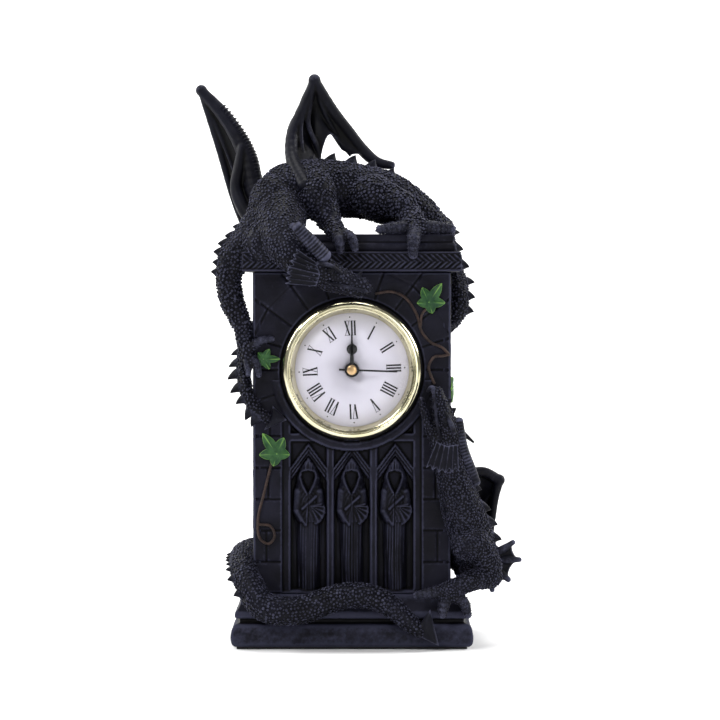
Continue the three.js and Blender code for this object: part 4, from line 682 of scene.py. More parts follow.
def side_stones(x, z):
    """The courses up each side, below the round stones."""
    ax = np.abs(x)
    level = off_joint(z - tower_bottom, course)
    row = np.floor((z - tower_bottom) / course)
    lower = ease(dial_z - 17 - z, 1.0) * ease(ax - window_half - 0.6, 0.3)
    upright = np.abs(ax - (right - 6.0 + 0.8 * np.sin(row * 2.1)))
    return (groove(level) + groove(upright, 0.6) * (np.mod(row, 2) == 1)) * lower


def arch_steps(xm, z):
    """The three nested arches at the head of a bay, from the beam down to the niche."""
    slope = arch_rise / (niche_width / 2)
    inward = (niche_top - slope * np.abs(xm) - z) / math.hypot(1, slope)
    level = np.full_like(xm, -4.2)
    for step in range(arch_bars):
        start, high = step * arch_pitch, -1.6 - 0.7 * step
        off = (inward - start - arch_bar / 2) / (arch_bar / 2)
        level = np.where(np.abs(off) <= 1, high - 0.3 * off**2, level)
        slot = (inward > start + arch_bar) & (inward < start + arch_pitch)
        level = np.where(slot, high - 1.3, level)
    return np.where(inward > arch_bars * arch_pitch, -5.5, level), inward


def front_relief(x, z):
    """The height of the tower's front, in millimetres out from its main face."""
    r = np.hypot(x, z - dial_z)
    angle = np.degrees(np.arctan2(x, z - dial_z))
    h = rough_stone(x, z, 11) + round_stones(z, r, angle) + side_stones(x, z)
    window = within(x, z, -window_half, window_half, tower_bottom + 0.6, dial_z - 18)
    window = np.minimum(window, r - seat_radius - 3.6)
    h = sink(h, window, -1.5 + 0.4 * rough_stone(x, z, 31))
    for middle in (-niche_pitch, 0, niche_pitch):
        xm = x - middle
        bay = within(xm, z, -niche_width / 2, niche_width / 2, niche_bottom, beam_bottom)
        level, inward = arch_steps(xm, z)
        figure = figure_relief(xm, z - niche_bottom)
        level = np.where(inward > arch_bars * arch_pitch, level + figure, level)
        h = sink(h, bay, level, 0.18)
    between_posts = window_half - post_width
    spandrel = within(x, z, -between_posts, between_posts, beam_top, dial_z)
    h = sink(h, np.minimum(spandrel, r - seat_radius - 3.9), -3.9)
    ring = 1 - ((r - seat_radius - 1.9) / 1.7) ** 2
    beaded = np.maximum(h, 0.9 * np.sqrt(np.maximum(ring, 0)) - 0.2)
    h = np.where((ring > 0) & (z < dial_z - 4), beaded, h)
    return sink(h, seat_radius - r, -seat_depth, 0.2)


# %% [markdown]
# The clock needs a true round hole, so the squares inside the bore are left out, the points
# around the gap are drawn onto the exact circle, and that circle is carried back to the bore's
# floor. The rest of the walls are laid in plain courses.

# %% The tower
def with_bore(shape, centre_z, radius, depth):
    """Cuts a round blind hole into a wall's face."""
    points, faces = shape
    x, z = points[:, 0], points[:, 2] - centre_z
    r = np.hypot(x, z)
    on_the_face = points[:, 1] < front + 8
    gone = (r < radius) & on_the_face
    kept = [face for face in faces if not any(gone[i] for i in face)]
    edge_of = {i for face in faces if any(gone[k] for k in face) for i in face if not gone[i]}
    loop = np.array(sorted(edge_of, key=lambda i: math.atan2(x[i], z[i])))
    turn = np.arctan2(x[loop], z[loop])
    points[loop, 0] = radius * np.sin(turn)
    points[loop, 2] = centre_z + radius * np.cos(turn)
    floor = points[loop].copy()
    floor[:, 1] = front + depth
    start = len(points)
    ring = np.arange(start, start + len(loop))
    kept += np.stack([np.roll(loop, -1), loop, ring, np.roll(ring, -1)], 1).tolist()
    kept.append(ring[::-1].tolist())
    used = np.unique(np.concatenate([np.ravel(face) for face in kept]))
    renumber = np.full(start + len(loop), -1)
    renumber[used] = np.arange(len(used))
    everything = np.vstack([points, floor])[used]
    return everything, [renumber[face].tolist() for face in kept]


stone_length = 19.0


def courses(seed):
    """A relief of plain coursed stone, its upright joints staggered."""
    def height(u, v):
        stagger = np.mod(np.floor((v - tower_bottom) / course), 2) * stone_length / 2
        joints = groove(off_joint(v - tower_bottom, course))
        return rough_stone(u, v, seed) + joints + groove(off_joint(u + stagger, stone_length))
    return height


def facing_y(level, way):
    """Places a wall's points on a face that looks along Y, forward or back."""
    return lambda u, v, h: np.stack([u, level + way * h, v], -1)


def facing_x(level, way):
    """Places a wall's points on a face that looks along X, to the left or the right."""
    return lambda u, v, h: np.stack([level + way * h, u, v], -1)


face_bounds = (left, right, tower_bottom, tower_top)
side_bounds = (front, back, tower_bottom, tower_top)
front_wall = wall(face_bounds, 0.36, front_relief, facing_y(front, -1), back - front - 1.5, inset=1.0)
front_wall = with_bore(front_wall, dial_z, bore_radius, bore_depth)
brushed("tower_front", outward(*front_wall), replaces=["tower"], rounds=7, full=0.3)
plain_walls = [
    ("tower_back", face_bounds, 0.75, 51, facing_y(back, 1)),
    ("tower_left_side", side_bounds, 0.7, 61, facing_x(left, -1)),
    ("tower_right_side", side_bounds, 0.7, 71, facing_x(right, 1)),
]
for name, bounds, pitch, seed, place in plain_walls:
    slab = wall(bounds, pitch, courses(seed), place, thickness=3.0, inset=0.2)
    brushed(name, outward(*slab), rounds=3)

# %% [markdown]
# ## The mouldings
# A moulding is one profile carried round a rectangle. The profile is sampled finely and its
# sharp corners are eased, as a mould eases them, and the outline has small rounded corners.
# The cornice's band carries a plait, which is a formula on how far round and how high a point is.

# %% Mouldings
def eased_profile(knots, pitch, rounds):
    """Even samples along a profile of [inset, height], with its inner corners softened."""
    lengths = walked_along(knots)
    along = np.linspace(0, lengths[-1], round(lengths[-1] / pitch) + 1)
    profile = read_off(along, lengths, knots)
    for _ in range(rounds):
        profile[1:-1] = 0.5 * profile[1:-1] + 0.25 * (profile[:-2] + profile[2:])
    return profile


def rounded_outline(width, depth, radius, pitch):
    """Points round a rectangle with rounded corners, and the way out at each, anticlockwise."""
    points, ways = [], []
    centres = [(1, 1, 0), (-1, 1, 90), (-1, -1, 180), (1, -1, 270)]
    for i, (sx, sy, start) in enumerate(centres):
        cx, cy = sx * (width / 2 - radius), sy * (depth / 2 - radius)
        for turn in np.radians(np.linspace(start, start + 90, 5)):
            points.append((cx + radius * math.cos(turn), cy + radius * math.sin(turn)))
            ways.append((math.cos(turn), math.sin(turn)))
        nx, ny, _ = centres[(i + 1) % 4]
        way = ways[-1]
        goal_x = nx * (width / 2 - radius) + radius * way[0]
        goal = np.array([goal_x, ny * (depth / 2 - radius) + radius * way[1]])
        here = np.array(points[-1])
        count = round(math.dist(here, goal) / pitch)
        for k in range(1, count):
            points.append(tuple(here + (goal - here) * k / count))
            ways.append(way)
    return np.array(points), np.array(ways)


def moulding(width, depth, knots, pitch, relief, rounds):
    """A closed block with a moulded edge. relief(round, height) lifts its face."""
    outline, ways = rounded_outline(width, depth, corner_radius, pitch)
    walked = walked_along(outline)
    half = np.array([width / 2, depth / 2])
    rows = []
    for inset, height in eased_profile(knots, pitch, rounds):
        ring = outline * (half - inset) / half
        level = np.full(len(ring), height)
        rows.append(np.c_[ring + ways * relief(walked, level)[:, None], level])
    index = numbered(len(rows), len(outline))
    faces = ring_walls(index) + [index[0, ::-1].tolist(), index[-1].tolist()]
    return outward(np.vstack(rows), faces)


def above(level, *rows):
    """Profile points of [inset, height], measured from one level."""
    return [(inset, level + up) for inset, up in rows]


plinth_profile = [
    *above(plinth_bottom, (1.6, 0), (0.5, 0.7), (0.1, 2.2), (0.0, 4.0), (0.35, 6.6), (1.1, 8.4)),
    *above(plinth_bottom, (1.9, 9.0), (3.6, 9.1)),
    *above(step_bottom, (3.6, -0.1), (1.6, 0)),
    *above(cove_bottom, (1.6, 0), (2.3, 0.4), (3.3, 1.9), (4.1, 4.4)),
    *above(plinth_top, (4.4, -0.5), (5.0, 0)),
]


def plain_relief(walked, height):
    """Unevenness only."""
    return 0.8 * rough_stone(walked, height, 81) - 0.1


plinth_width, plinth_depth = 2 * plinth_high[0], 2 * plinth_high[1]
plinth_shape = moulding(plinth_width, plinth_depth, plinth_profile, 0.55, plain_relief, rounds=2)
brushed("plinth_block", plinth_shape, replaces=["plinth"], full=0.2, lift=0.3)

# %% [markdown]
# Seen close, the band is a herringbone: strokes that lean one way above the middle and the
# other way below it, each crossed by a thin cut, between two plain fillets. Above it come a
# round moulding and a thin slab, with a dark slot on each side of the round.

# %% The cornice
band_bottom = cornice_low[2]
band_top = band_bottom + 7.8
plait_pitch = 2.3
plait_slant = 1.1
cornice_profile = [
    *above(band_bottom, (4.4, 0.02), (0.3, 0.05), (0.0, 0.4)),
    *above(band_top, (0.0, -0.4), (0.3, 0), (2.9, 0.05), (2.9, 0.35), (2.45, 0.8), (2.25, 1.9)),
    *above(band_top, (2.45, 3.0), (2.9, 3.5), (3.6, 3.8), (3.6, 4.1), (3.05, 4.25)),
    *above(top, (3.0, -0.3), (3.3, 0)),
]


def plait_relief(walked, height):
    """A plaited band between two fillets, and plain stone elsewhere."""
    centre = (band_bottom + band_top) / 2 + 0.2
    off = height - centre
    inside = ease(2.9 - np.abs(off), 0.2) * (height < band_top)
    up_slant, down_slant = walked + plait_slant * off, walked - plait_slant * off
    lean = np.where(off > 0, up_slant, down_slant + plait_pitch / 2)
    strand = np.cos(2 * math.pi * lean / plait_pitch)
    cross = np.cos(2 * math.pi * down_slant / (2 * plait_pitch))
    carved = -0.42 + 0.4 * strand + 0.16 * cross
    border = groove(np.abs(off) - 3.0, 0.45, 0.5) * (height < band_top)
    return 0.6 * rough_stone(walked, height, 91) + inside * carved + border - 0.05


cornice_width, cornice_depth = 2 * cornice_high[0], -2 * cornice_front
cornice_shape = moulding(cornice_width, cornice_depth, cornice_profile, 0.42, plait_relief, rounds=1)
brushed("cornice_block", cornice_shape, replaces=["cornice"], rounds=4, full=0.2)

# %% [markdown]
# ## The dragons' limbs
# A limb is a tube on a smooth curve through a few joints, each with its own thickness. The
# joints are those of the solid, so the skin lies where the solid lies. The curve is a centripetal
# Catmull-Rom, which passes through every joint and never loops between two that are close.

# %% Curves and limbs
nearly_none = 1e-4


def spline(knots, steps):
    """A smooth curve through the knots, with `steps` samples from each to the next."""
    knots = np.asarray(knots, float)
    ends = np.vstack([2 * knots[0] - knots[1], knots, 2 * knots[-1] - knots[-2]])
    rows = []
    t = np.linspace(0, 1, steps, endpoint=False)[:, None]
    for p0, p1, p2, p3 in zip(ends, ends[1:], ends[2:], ends[3:]):
        steps_between = (p1 - p0, p2 - p1, p3 - p2)
        before, here, after = (np.sum(step**2) ** 0.25 for step in steps_between)
        here = here if here > nearly_none else 1.0
        before = before if before > nearly_none else here
        after = after if after > nearly_none else here
        leave = ((p1 - p0) / before - (p2 - p0) / (before + here) + (p2 - p1) / here) * here
        arrive = ((p2 - p1) / here - (p3 - p1) / (here + after) + (p3 - p2) / after) * here
        square = 3 * (p2 - p1) - 2 * leave - arrive
        cube = 2 * (p1 - p2) + leave + arrive
        rows.append(p1 + leave * t + square * t**2 + cube * t**3)
    return np.vstack([*rows, knots[-1:]])


def unit(vectors):
    """Vectors of the same directions, each 1 long."""
    return vectors / np.maximum(np.linalg.norm(vectors, axis=-1, keepdims=True), 1e-9)


def strand(joints, steps):
    """The samples of a limb: places, ways along, sideways and across, and the two radii."""
    table = np.array([[*joint, joint[3]][:5] for joint in joints], float)
    path = spline(table[:, :3], steps)
    radii = spline(np.c_[table[:, 3:5], np.zeros(len(table))], steps)[:, :2]
    along = unit(np.gradient(path, axis=0))
    across = np.zeros_like(path)
    way = np.array([0.0, 1.0, 0.0])
    for i, forward in enumerate(along):
        if abs(forward @ way) > 0.95:
            way = np.array([0.0, 0.0, 1.0])
        way = unit(way - forward * (forward @ way))
        across[i] = way
    return path, along, np.cross(across, along), across, radii


def tube(rings, first, last):
    """A closed shape from rings of points and the two end points."""
    count, sides = rings.shape[:2]
    index = numbered(count, sides)
    around = np.roll(index, -1, axis=1)
    start, end = np.full((2, sides), count * sides) + [[0], [1]]
    faces = ring_walls(index)
    faces += np.stack([start, around[0], index[0]], 1).tolist()
    faces += np.stack([end, index[-1], around[-1]], 1).tolist()
    return np.vstack([rings.reshape(-1, 3), first, last]), faces


def round_turns(sides):
    """Even angles once round."""
    return np.linspace(0, 2 * math.pi, sides, endpoint=False)


def limb(joints, sides=20, steps=8, grow=0.0, ridges=0.0, ridge_pitch=1.2):
    """A closed tube with domed ends. ridges gives it rings."""
    path, along, side, across, radii = strand(joints, steps)
    radii = radii + grow
    if ridges:
        walked = walked_along(path)
        radii = radii * (1 + ridges * np.cos(2 * math.pi * walked / ridge_pitch))[:, None]
    dome = np.radians([72, 48, 24])
    dome_height = 0.75
    nose_way = along[0] * dome_height * radii[0, 0]
    tip_way = along[-1] * dome_height * radii[-1, 0]
    samples = [(path[0] - nose_way * math.sin(a), radii[0] * math.cos(a), 0) for a in dome]
    samples += [(path[i], radii[i], i) for i in range(len(path))]
    samples += [(path[-1] + tip_way * math.sin(a), radii[-1] * math.cos(a), -1) for a in dome[::-1]]
    turn = round_turns(sides)
    rings = np.stack([
        place + np.outer(np.cos(turn) * wide, side[i]) + np.outer(np.sin(turn) * deep, across[i])
        for place, (wide, deep), i in samples
    ])
    return outward(*tube(rings, path[0] - nose_way, path[-1] + tip_way))


def ball(centre, size):
    """A round lump for a muscle or a knuckle, with its own size along x, y and z."""
    turns = round_turns(20)
    tilts = np.linspace(-math.pi / 2, math.pi / 2, 11)[1:-1, None]
    ring = [np.cos(tilts) * np.cos(turns), np.cos(tilts) * np.sin(turns), np.sin(tilts) + 0 * turns]
    size = np.asarray(size, float) * np.ones(3)
    ends = np.array([[0, 0, -1.0], [0, 0, 1.0]]) * size + centre
    return outward(*tube(np.stack(ring, -1) * size + centre, *ends))


# %% [markdown]
# A body is many limbs that run into each other. Voxel remeshing melts them into one closed
# skin, and a few rounds of smoothing turn the creases between them into muscle. Sculpting by
# hand would be freer, but this way the body still follows its joints when one of them moves.

# %% Skins
def skin(name, shapes, voxel, smoothing):
    """Melts closed shapes into one smooth skin."""
    thing = object_from(name, join(*shapes))
    melt = thing.modifiers.new("melt", "REMESH")
    melt.mode = "VOXEL"
    melt.voxel_size = voxel * MM
    melt.use_smooth_shade = True
    soften = thing.modifiers.new("soften", "SMOOTH")
    soften.factor = 0.5
    soften.iterations = smoothing
    bake_down(thing)
    print(f"{name}: {len(thing.data.vertices)} points in its skin")
    return thing


# %% [markdown]
# The scales are what the eye reads first. A Geometry Nodes tree scatters points over a skin,
# no two nearer than the pitch, and sets a low bead on each, turned and tilted at random and a
# little larger or smaller. Each bead is marked pale round its crown, for the dry brushing, and
# dark at its foot as painted shade, and every copy keeps it. The seed is fixed. Toes have small
# ones, so `grain` is low there.

# %% The tree that lays scales
def live_output(node):
    """The output that is in use, of a node that has one for each kind of value."""
    return next(socket for socket in node.outputs if socket.enabled)


def stored(tree, name, kind):
    """An attribute that is stored on the points."""
    node = add(tree, "GeometryNodeInputNamedAttribute", {"Name": name}, data_type=kind)
    return live_output(node)


def chance(tree, low, high, seed, kind="FLOAT"):
    """A random value between two others for each point."""
    values = {"Min": low, "Max": high, "Seed": seed}
    return live_output(add(tree, "FunctionNodeRandomValue", values, data_type=kind))


def scale_shape():
    """One scale: a low bead of five sides with a closed foot, pale round its crown for the dry brushing
    and dark at its foot as painted shade.
    """
    # The third number of each level marks it: painted shade at the foot, dry brushing round the crown.
    levels = [(-0.4, 1.0, -0.7), (0.5, 0.88, 0.0), (0.88, 0.5, 0.95)]
    foot, foot_painted_shade = -0.4, -0.7
    crown, crown_brush = 0.76, 0.1
    turn = round_turns(5)
    rings = np.stack([np.c_[np.cos(turn) * r, np.sin(turn) * r, 0 * turn + z] for z, r, _ in levels])
    bead = object_from("one_scale", outward(*tube(rings, [0, 0, foot], [0, 0, crown])))
    bead.data.transform(Matrix.Scale(1 / MM, 4))
    brush_and_shade = [b for _, _, b in levels for _ in turn] + [foot_painted_shade, crown_brush]
    bead.data.attributes.new("brush_and_shade", "FLOAT", "POINT").data.foreach_set("value", brush_and_shade)
    return bead


def new_tree(name, inputs):
    """An empty tree that makes a mesh, and its inputs, which are given as names and kinds."""
    tree = bpy.data.node_groups.new(name, "GeometryNodeTree")
    for label, kind in inputs.items():
        tree.interface.new_socket(name=label, in_out="INPUT", socket_type="NodeSocket" + kind)
    tree.interface.new_socket(name="Mesh", in_out="OUTPUT", socket_type="NodeSocketGeometry")
    return tree, add(tree, "NodeGroupInput").outputs


def set_copies(tree, given, points, rotation, size):
    """Ends a tree: sets the given shape on points, as one smooth mesh in the given finish."""
    shape = add(tree, "GeometryNodeObjectInfo", {"Object": given["Shape"]}).outputs["Geometry"]
    values = {"Points": points, "Instance": shape, "Rotation": rotation, "Scale": size}
    laid = add(tree, "GeometryNodeInstanceOnPoints", values).outputs[0]
    real = add(tree, "GeometryNodeRealizeInstances", {0: laid}).outputs[0]
    smooth = add(tree, "GeometryNodeSetShadeSmooth", {0: real}).outputs[0]
    values = {"Geometry": smooth, "Material": given["Finish"]}
    done = add(tree, "GeometryNodeSetMaterial", values).outputs[0]
    add(tree, "NodeGroupOutput", {"Mesh": done})


def scale_tree():
    """Sets scales on a skin."""
    tree, given = new_tree("scales", {
        "Skin": "Geometry", "Shape": "Object", "Pitch": "Float", "Size": "Float",
        "Height": "Float", "Seed": "Int", "Finish": "Material",
    })
    density = math_node(tree, "DIVIDE", math_node(tree, "DIVIDE", 3.0, given["Pitch"]), given["Pitch"])
    grain = stored(tree, "grain", "FLOAT")
    covered = math_node(tree, "GREATER_THAN", grain, 0.5)
    spots = add(tree, "GeometryNodeDistributePointsOnFaces", {
        "Mesh": given["Skin"], "Distance Min": given["Pitch"], "Density Max": density,
        "Density Factor": covered, "Seed": given["Seed"],
    }, distribute_method="POISSON")
    spin = chance(tree, (-0.35, -0.35, 0.0), (0.35, 0.35, 6.28), given["Seed"], "FLOAT_VECTOR")
    turned = add(tree, "FunctionNodeRotateRotation", {
        "Rotation": spots.outputs["Rotation"],
        "Rotate By": add(tree, "FunctionNodeEulerToRotation", {0: spin}).outputs[0],
    }, rotation_space="LOCAL").outputs[0]
    wide = math_node(tree, "MULTIPLY", given["Size"], chance(tree, 0.6, 1.4, 7))
    wide = math_node(tree, "MULTIPLY", wide, grain)
    tall = math_node(tree, "MULTIPLY", given["Height"], chance(tree, 0.6, 1.3, 9))
    tall = math_node(tree, "MULTIPLY", tall, grain)
    narrow = math_node(tree, "MULTIPLY", wide, chance(tree, 0.75, 1.0, 8))
    size = add(tree, "ShaderNodeCombineXYZ", {"X": wide, "Y": narrow, "Z": tall}).outputs[0]
    set_copies(tree, given, spots.outputs["Points"], turned, size)
    return tree


def run_tree(thing, tree, values):
    """Puts a tree on an object with its inputs set, and keeps only the mesh that it makes."""
    step = thing.modifiers.new(tree.name, "NODES")
    step.node_group = tree
    for name, value in values.items():
        step[tree.interface.items_tree[name].identifier] = value
    thing.update_tag()
    return bake_down(thing)


scales = scale_tree()
scale = scale_shape()


def store_grain(mesh, sizes):
    """Stores `grain`, the size of the scales at each point."""
    layer = mesh.attributes.new("grain", "FLOAT", "POINT")
    layer.data.foreach_set("value", sizes.astype(np.float32))


def grain_near(thing, limbs):
    """Gives each point the scales' size of the limb that it lies nearest to."""
    strands = [strand(joints, 4) for joints, _ in limbs]
    places = np.vstack([path for path, *_ in strands])
    girth = np.concatenate([radii[:, 0] for *_, radii in strands])
    sizes = np.concatenate([np.full(len(s[0]), size) for s, (_, size) in zip(strands, limbs)])
    points = points_of(thing.data)
    nearest = np.empty(len(points), int)
    at_once = 4000
    for start in range(0, len(points), at_once):
        block = points[start:start + at_once]
        gaps = np.linalg.norm(block[:, None] - places[None], axis=2) / girth[None]
        nearest[start:start + at_once] = gaps.argmin(1)
    store_grain(thing.data, sizes[nearest])


def lay_scales(name, under, pitch, size, height, seed):
    """Covers a skin with scales, as a piece of its own."""
    cover = bpy.data.objects.new(name, under.data.copy())
    bpy.context.scene.collection.objects.link(cover)
    if "grain" not in cover.data.attributes:
        store_grain(cover.data, np.ones(len(cover.data.vertices)))
    values = {"Shape": scale, "Pitch": pitch * MM, "Size": size * MM, "Height": height * MM}
    run_tree(cover, scales, {**values, "Seed": seed, "Finish": finishes["scale_resin"]})
    print(f"{name}: {len(cover.data.polygons)} faces in its scales")
    return dress(cover, "scale_resin")


def finished_skin(thing, replaces=(), full=0.25, darker=0.0, rounds=6):
    """Marks a skin's high spots and makes it a piece: darker by `darker` except on the paler toes; under
    scales that is painted shade.
    """
    scaled = np.ones(len(thing.data.vertices), np.float32)
    if "grain" in thing.data.attributes:
        thing.data.attributes["grain"].data.foreach_get("value", scaled)
    # Painted shade: the skin under large scales, seen in the gaps between them, is darkened by `darker`.
    mark_high_spots(thing.data, rounds, full, np.where(scaled > 0.7, -darker, 0.12))
    return dress(thing, "scale_resin", "case", replaces)


# %% [markdown]
# ## The upper dragon
# It lies over the cornice, its chest on the left-hand corner. The neck comes over the edge and
# the head lies along the front, biting the vine. One arm reaches down the left-hand column, the
# other paw hangs over the band, and a hind foot spreads its toes on the slab.

# %% The upper dragon's joints
upper_torso = [
    *hang(left, 0, top, (6, -11, 11, 8, 8), (13, -9, 16.5, 12, 12), (25, -3, 19, 12, 12)),
    (0, 1, top + 18.4, 11.2, 11.5),
    *hang(right, 0, top, (-25, 2, 15.6, 10.2, 12), (-12.5, 2, 9.2, 8, 9.4), (-4, 3, 3.4, 5.2, 6.2)),
]
upper_neck = [
    (left + 11, -18, top + 10, 10.5, 9.5),
    (left + 11.5, slab_front, top + 2, 9.8, 8.6),
    *hang(left, cornice_front, top, (14.5, -4, -5.6, 8.4, 7.4), (20, -6.6, -11, 7, 6.2)),
]
upper_skull = hang(
    left, cornice_front, top, (21, -7, -12.4, 6.8, 6), (28.5, -7.4, -15.2, 6, 5.2),
    (35.5, -6.6, -18, 4.6, 4.4), (42, -6, -20.2, 3.5, 3.3), (45.4, -5.6, -21.4, 2.4, 2.4),
)
upper_jaw = hang(
    left, cornice_front, top, (28, -6.4, -19.4, 2.8, 3), (36, -6, -22.2, 1.8, 2.3),
    (43, -5.6, -24.6, 1.1, 1.5),
)
upper_left_arm = [
    *hang(left, 0, top, (5, -16, 6, 8.6, 8.4), (-1, -20.5, -2.4, 7.6, 7), (-7.4, -21, -9, 6.2, 6),
          (-9.6, -21.5, -17, 5.2, 5.2), (-8.4, -23, -26, 5, 4.7)),
    *hang(left, front, top, (-4, 1.2, -37, 3.9, 3.8), (-2.6, -0.6, -47, 2.8, 2.8)),
]
upper_right_arm = [
    *hang(left, 0, top, (24, -13, 17, 8, 7.5), (28.4, -18.5, 10, 5.8, 5.6),
          (31, -22, 4.4, 4.4, 4.4)),
    (left + 33, slab_front + 0.5, top + 0.9, 3.8, 3.6),
]
upper_hind_leg = [
    *hang(right, 0, top, (-31, -8, 15.5, 9, 7), (-21, -14, 12.4, 6, 5.6),
          (-16, -18.4, 7, 4.9, 4.8)),
    (right - 14, slab_front + 4.6, top + 3.6, 4.1, 4),
]
upper_far_leg = [
    *hang(right, 0, top, (-29, 10, 14, 8.6, 7), (-22, 15, 9.5, 6, 5.6)),
    (right - 15, -slab_front - 8.5, top + 4, 4, 4),
]

# %% [markdown]
# Toes are short fat limbs that end in a blunt claw. The same rule makes all of them, so that
# the paws look like one animal's. Each is given by its middle points and its thickness.

# %% Toes
def toe(points, radius):
    """A fat toe with folded skin, drawn out to a blunt claw."""
    last = len(points) - 1
    joints = [(*p, radius * (1 - 0.45 * i / last)) for i, p in enumerate(points)]
    return limb(joints, 16, 12, ridges=0.05, ridge_pitch=1.8)


def toe_line(points, radius):
    """The part of a toe whose scales are small, for `grain`."""
    return [(*p, radius) for p in points[-2:]], 0.6


upper_paw = (left + 33, slab_front, top + 0.6)
upper_foot = (right - 14, slab_front + 3.4, top + 2.8)
upper_hand = (left - 2.6, front - 1.6, top - 46)
upper_toes = [
    ([upper_paw, *hang(left, cornice_front, top, (34.4, -2.4, -3), (34.8, -2, -7))], 2.9),
    ([upper_paw, *hang(left, cornice_front, top, (38.8, -1.4, -1.4), (40.6, -1.8, -6))], 2.8),
    ([upper_foot, *hang(right, slab_front, top, (-22, 1.2, 2.4), (-28.5, 1.4, 1.8))], 3.3),
    ([upper_foot, *hang(right, cornice_front, top, (-15, -2, -2.4), (-15.2, -2, -8.6))], 3.3),
    ([upper_foot, *hang(right, slab_front, top, (-6, 2.4, 2.6), (0.6, 2.8, 2))], 3.3),
    (hang(right, -slab_front, top, (-15, -8, 3), (-13, -2, 1.8)), 2.9),
    ([upper_hand, *hang(left, front, top, (3.4, -2.2, -42), (8, -1.6, -41.4))], 2.2),
    ([upper_hand, *hang(left, front, top, (1.4, -2.2, -51), (2.6, -1.8, -56))], 2.2),
    ([upper_hand, *hang(left, front, top, (-1.8, -2, -51), (-1.6, -1.6, -55.5))], 2.1),
]

# %% [markdown]
# Muscles are round lumps melted in with the limbs: a shoulder on each side, the chest over the
# corner, the thigh, the cheek and the brow. They are what makes the tubes read as a body.

# %% The upper dragon's skin
upper_muscles = [
    *hang(left, 0, top, (8, -16, 12, 10, 9, 12), (5, -25, -4, 9.5, 9, 10),
          (25.5, -17, 15.5, 7.4, 8, 10.4), (29.6, -20.6, 6.4, 5, 4.8, 5.4),
          (-7.6, -21, -10, 6.8, 6.2, 6.8)),
    *hang(right, 0, top, (-31, -9.5, 15.6, 9.5, 9, 8.6), (-19, -16, 12, 5.6, 5.4, 5.6)),
    *hang(left, cornice_front, top, (24.4, -8, -15, 5, 4.8, 6), (43.8, -7.2, -19, 1.9, 1.8, 1.8)),
]
upper_limbs = [
    (upper_torso, 1.05), (upper_neck, 0.95), (upper_skull, 0.85), (upper_jaw, 0.8),
    (upper_left_arm, 1.0), (upper_right_arm, 1.05), (upper_hind_leg, 1.2), (upper_far_leg, 1.1),
]
under_scales = -0.3


def dragon(which, limbs, muscles, toes, voxel, scaling):
    """A dragon's body: limbs, muscles and toes melted into a skin, and the scales over it.
    scaling is the scales' pitch, size, height and seed."""
    shapes = [limb(joints, grow=under_scales) for joints, _ in limbs]
    shapes += [ball(lump[:3], np.add(lump[3:], under_scales)) for lump in muscles]
    body = skin(f"{which}_dragon_skin", shapes + [toe(*t) for t in toes], voxel, smoothing=4)
    grain_near(body, limbs + [toe_line(*t) for t in toes])
    lay_scales(f"{which}_dragon_scales", body, *scaling)
    # The skin under the scales gets painted shade.
    finished_skin(body, [f"{which}_dragon_body"], darker=0.22)
    print(f"{which} dragon:", len(limbs), "limbs,", len(muscles), "muscles,", len(toes), "toes")


dragon("upper", upper_limbs, upper_muscles, upper_toes, 0.5, (1.08, 0.64, 0.55, 3))

# %% [markdown]
# ## Tails
# A tail is one long limb, so it needs no melting. The upper dragon's leaves the cornice at the
# back, goes round behind the tower and ends in a barb beside the dial. The lower one's goes
# round the whole base and rests its barb on the plinth's front.

# %% Tails
upper_tail = [
    *hang(right, 0, top, (-3, 6.6, 3, 5), (-2, 18, 3.4, 4.8), (-1, 28.6, 1, 4.6),
          (0.5, 34.4, -7, 4.4), (4, 31, -16.5, 4.2)),
    *hang(right, back, top, (5.2, -3, -24, 4.1), (4.2, -3.4, -31, 4), (-3, 4.2, -38, 3.9),
          (-20, 4.2, -42, 3.7)),
    *hang(left, back, top, (20, 4, -42, 3.5), (3, 3.6, -39, 3.3), (-3.6, -6, -38, 3.2)),
    (left - 3.8, 4, top - 40, 3.1),
    *hang(left, front, top, (-3.8, 12, -48, 3), (-3.4, 1, -58, 2.8), (0.4, -3, -68, 2.5),
          (6, -2.6, -73, 1.8)),
]
lower_tail = [
    (right + 9, front + 21, plinth_top + 8, 7),
    *hang(right, back, plinth_top, (8.4, -6, 8.4, 6.6), (1, 7, 10.6, 6.2), (-22, 7, 11.4, 6)),
    *hang(left, back, plinth_top, (22, 7, 12, 5.9), (2, 6.4, 11.4, 5.8), (-4.6, -6, 11, 5.6)),
    (left - 4.8, 0, plinth_top + 11, 5.4),
    *hang(left, front, plinth_top, (-4.2, 8, 10.4, 5.4), (-2.2, -5, 6.6, 5.5)),
    *hang(left, plinth_front, cove_bottom, (5, -3, 3, 5.8), (18, -3.6, 1.6, 5.6), (29, -3, 5, 5.2),
          (38, -2.6, 7.4, 5), (48, -2.6, 6.4, 4.7), (56, -3, 2, 4.3), (62, -3.4, -3.4, 3.6),
          (66, -3.6, -6.8, 2.6)),
]


def barb(outline, near, thickness):
    """A flat barb from an outline in x and height, which rises to a blunt point in its middle."""
    corners_in = np.array(outline, float)
    between = np.linspace(0, 1, 8, endpoint=False)[:, None]
    sides = zip(corners_in, np.roll(corners_in, -1, 0))
    outline = np.vstack([a + (b - a) * between for a, b in sides])
    centre = outline.mean(0)
    rings = []
    slope = [(1.0, 0.0), (0.93, 0.2), (0.8, 0.26), (0.6, 0.36), (0.4, 0.44), (0.2, 0.5)]
    for share, lift in slope:
        flat = centre + (outline - centre) * share
        deep = np.full(len(outline), near + thickness * (0.5 - lift))
        rings.append(np.c_[flat[:, 0], deep, flat[:, 1]])
    behind = [np.c_[r[:, 0], 2 * (near + thickness / 2) - r[:, 1], r[:, 2]] for r in rings[:0:-1]]
    loops = np.stack(rings[::-1] + behind[::-1])
    middle = np.array([centre[0], near, centre[1]])
    return outward(*tube(loops, middle, middle + [0, thickness, 0]))
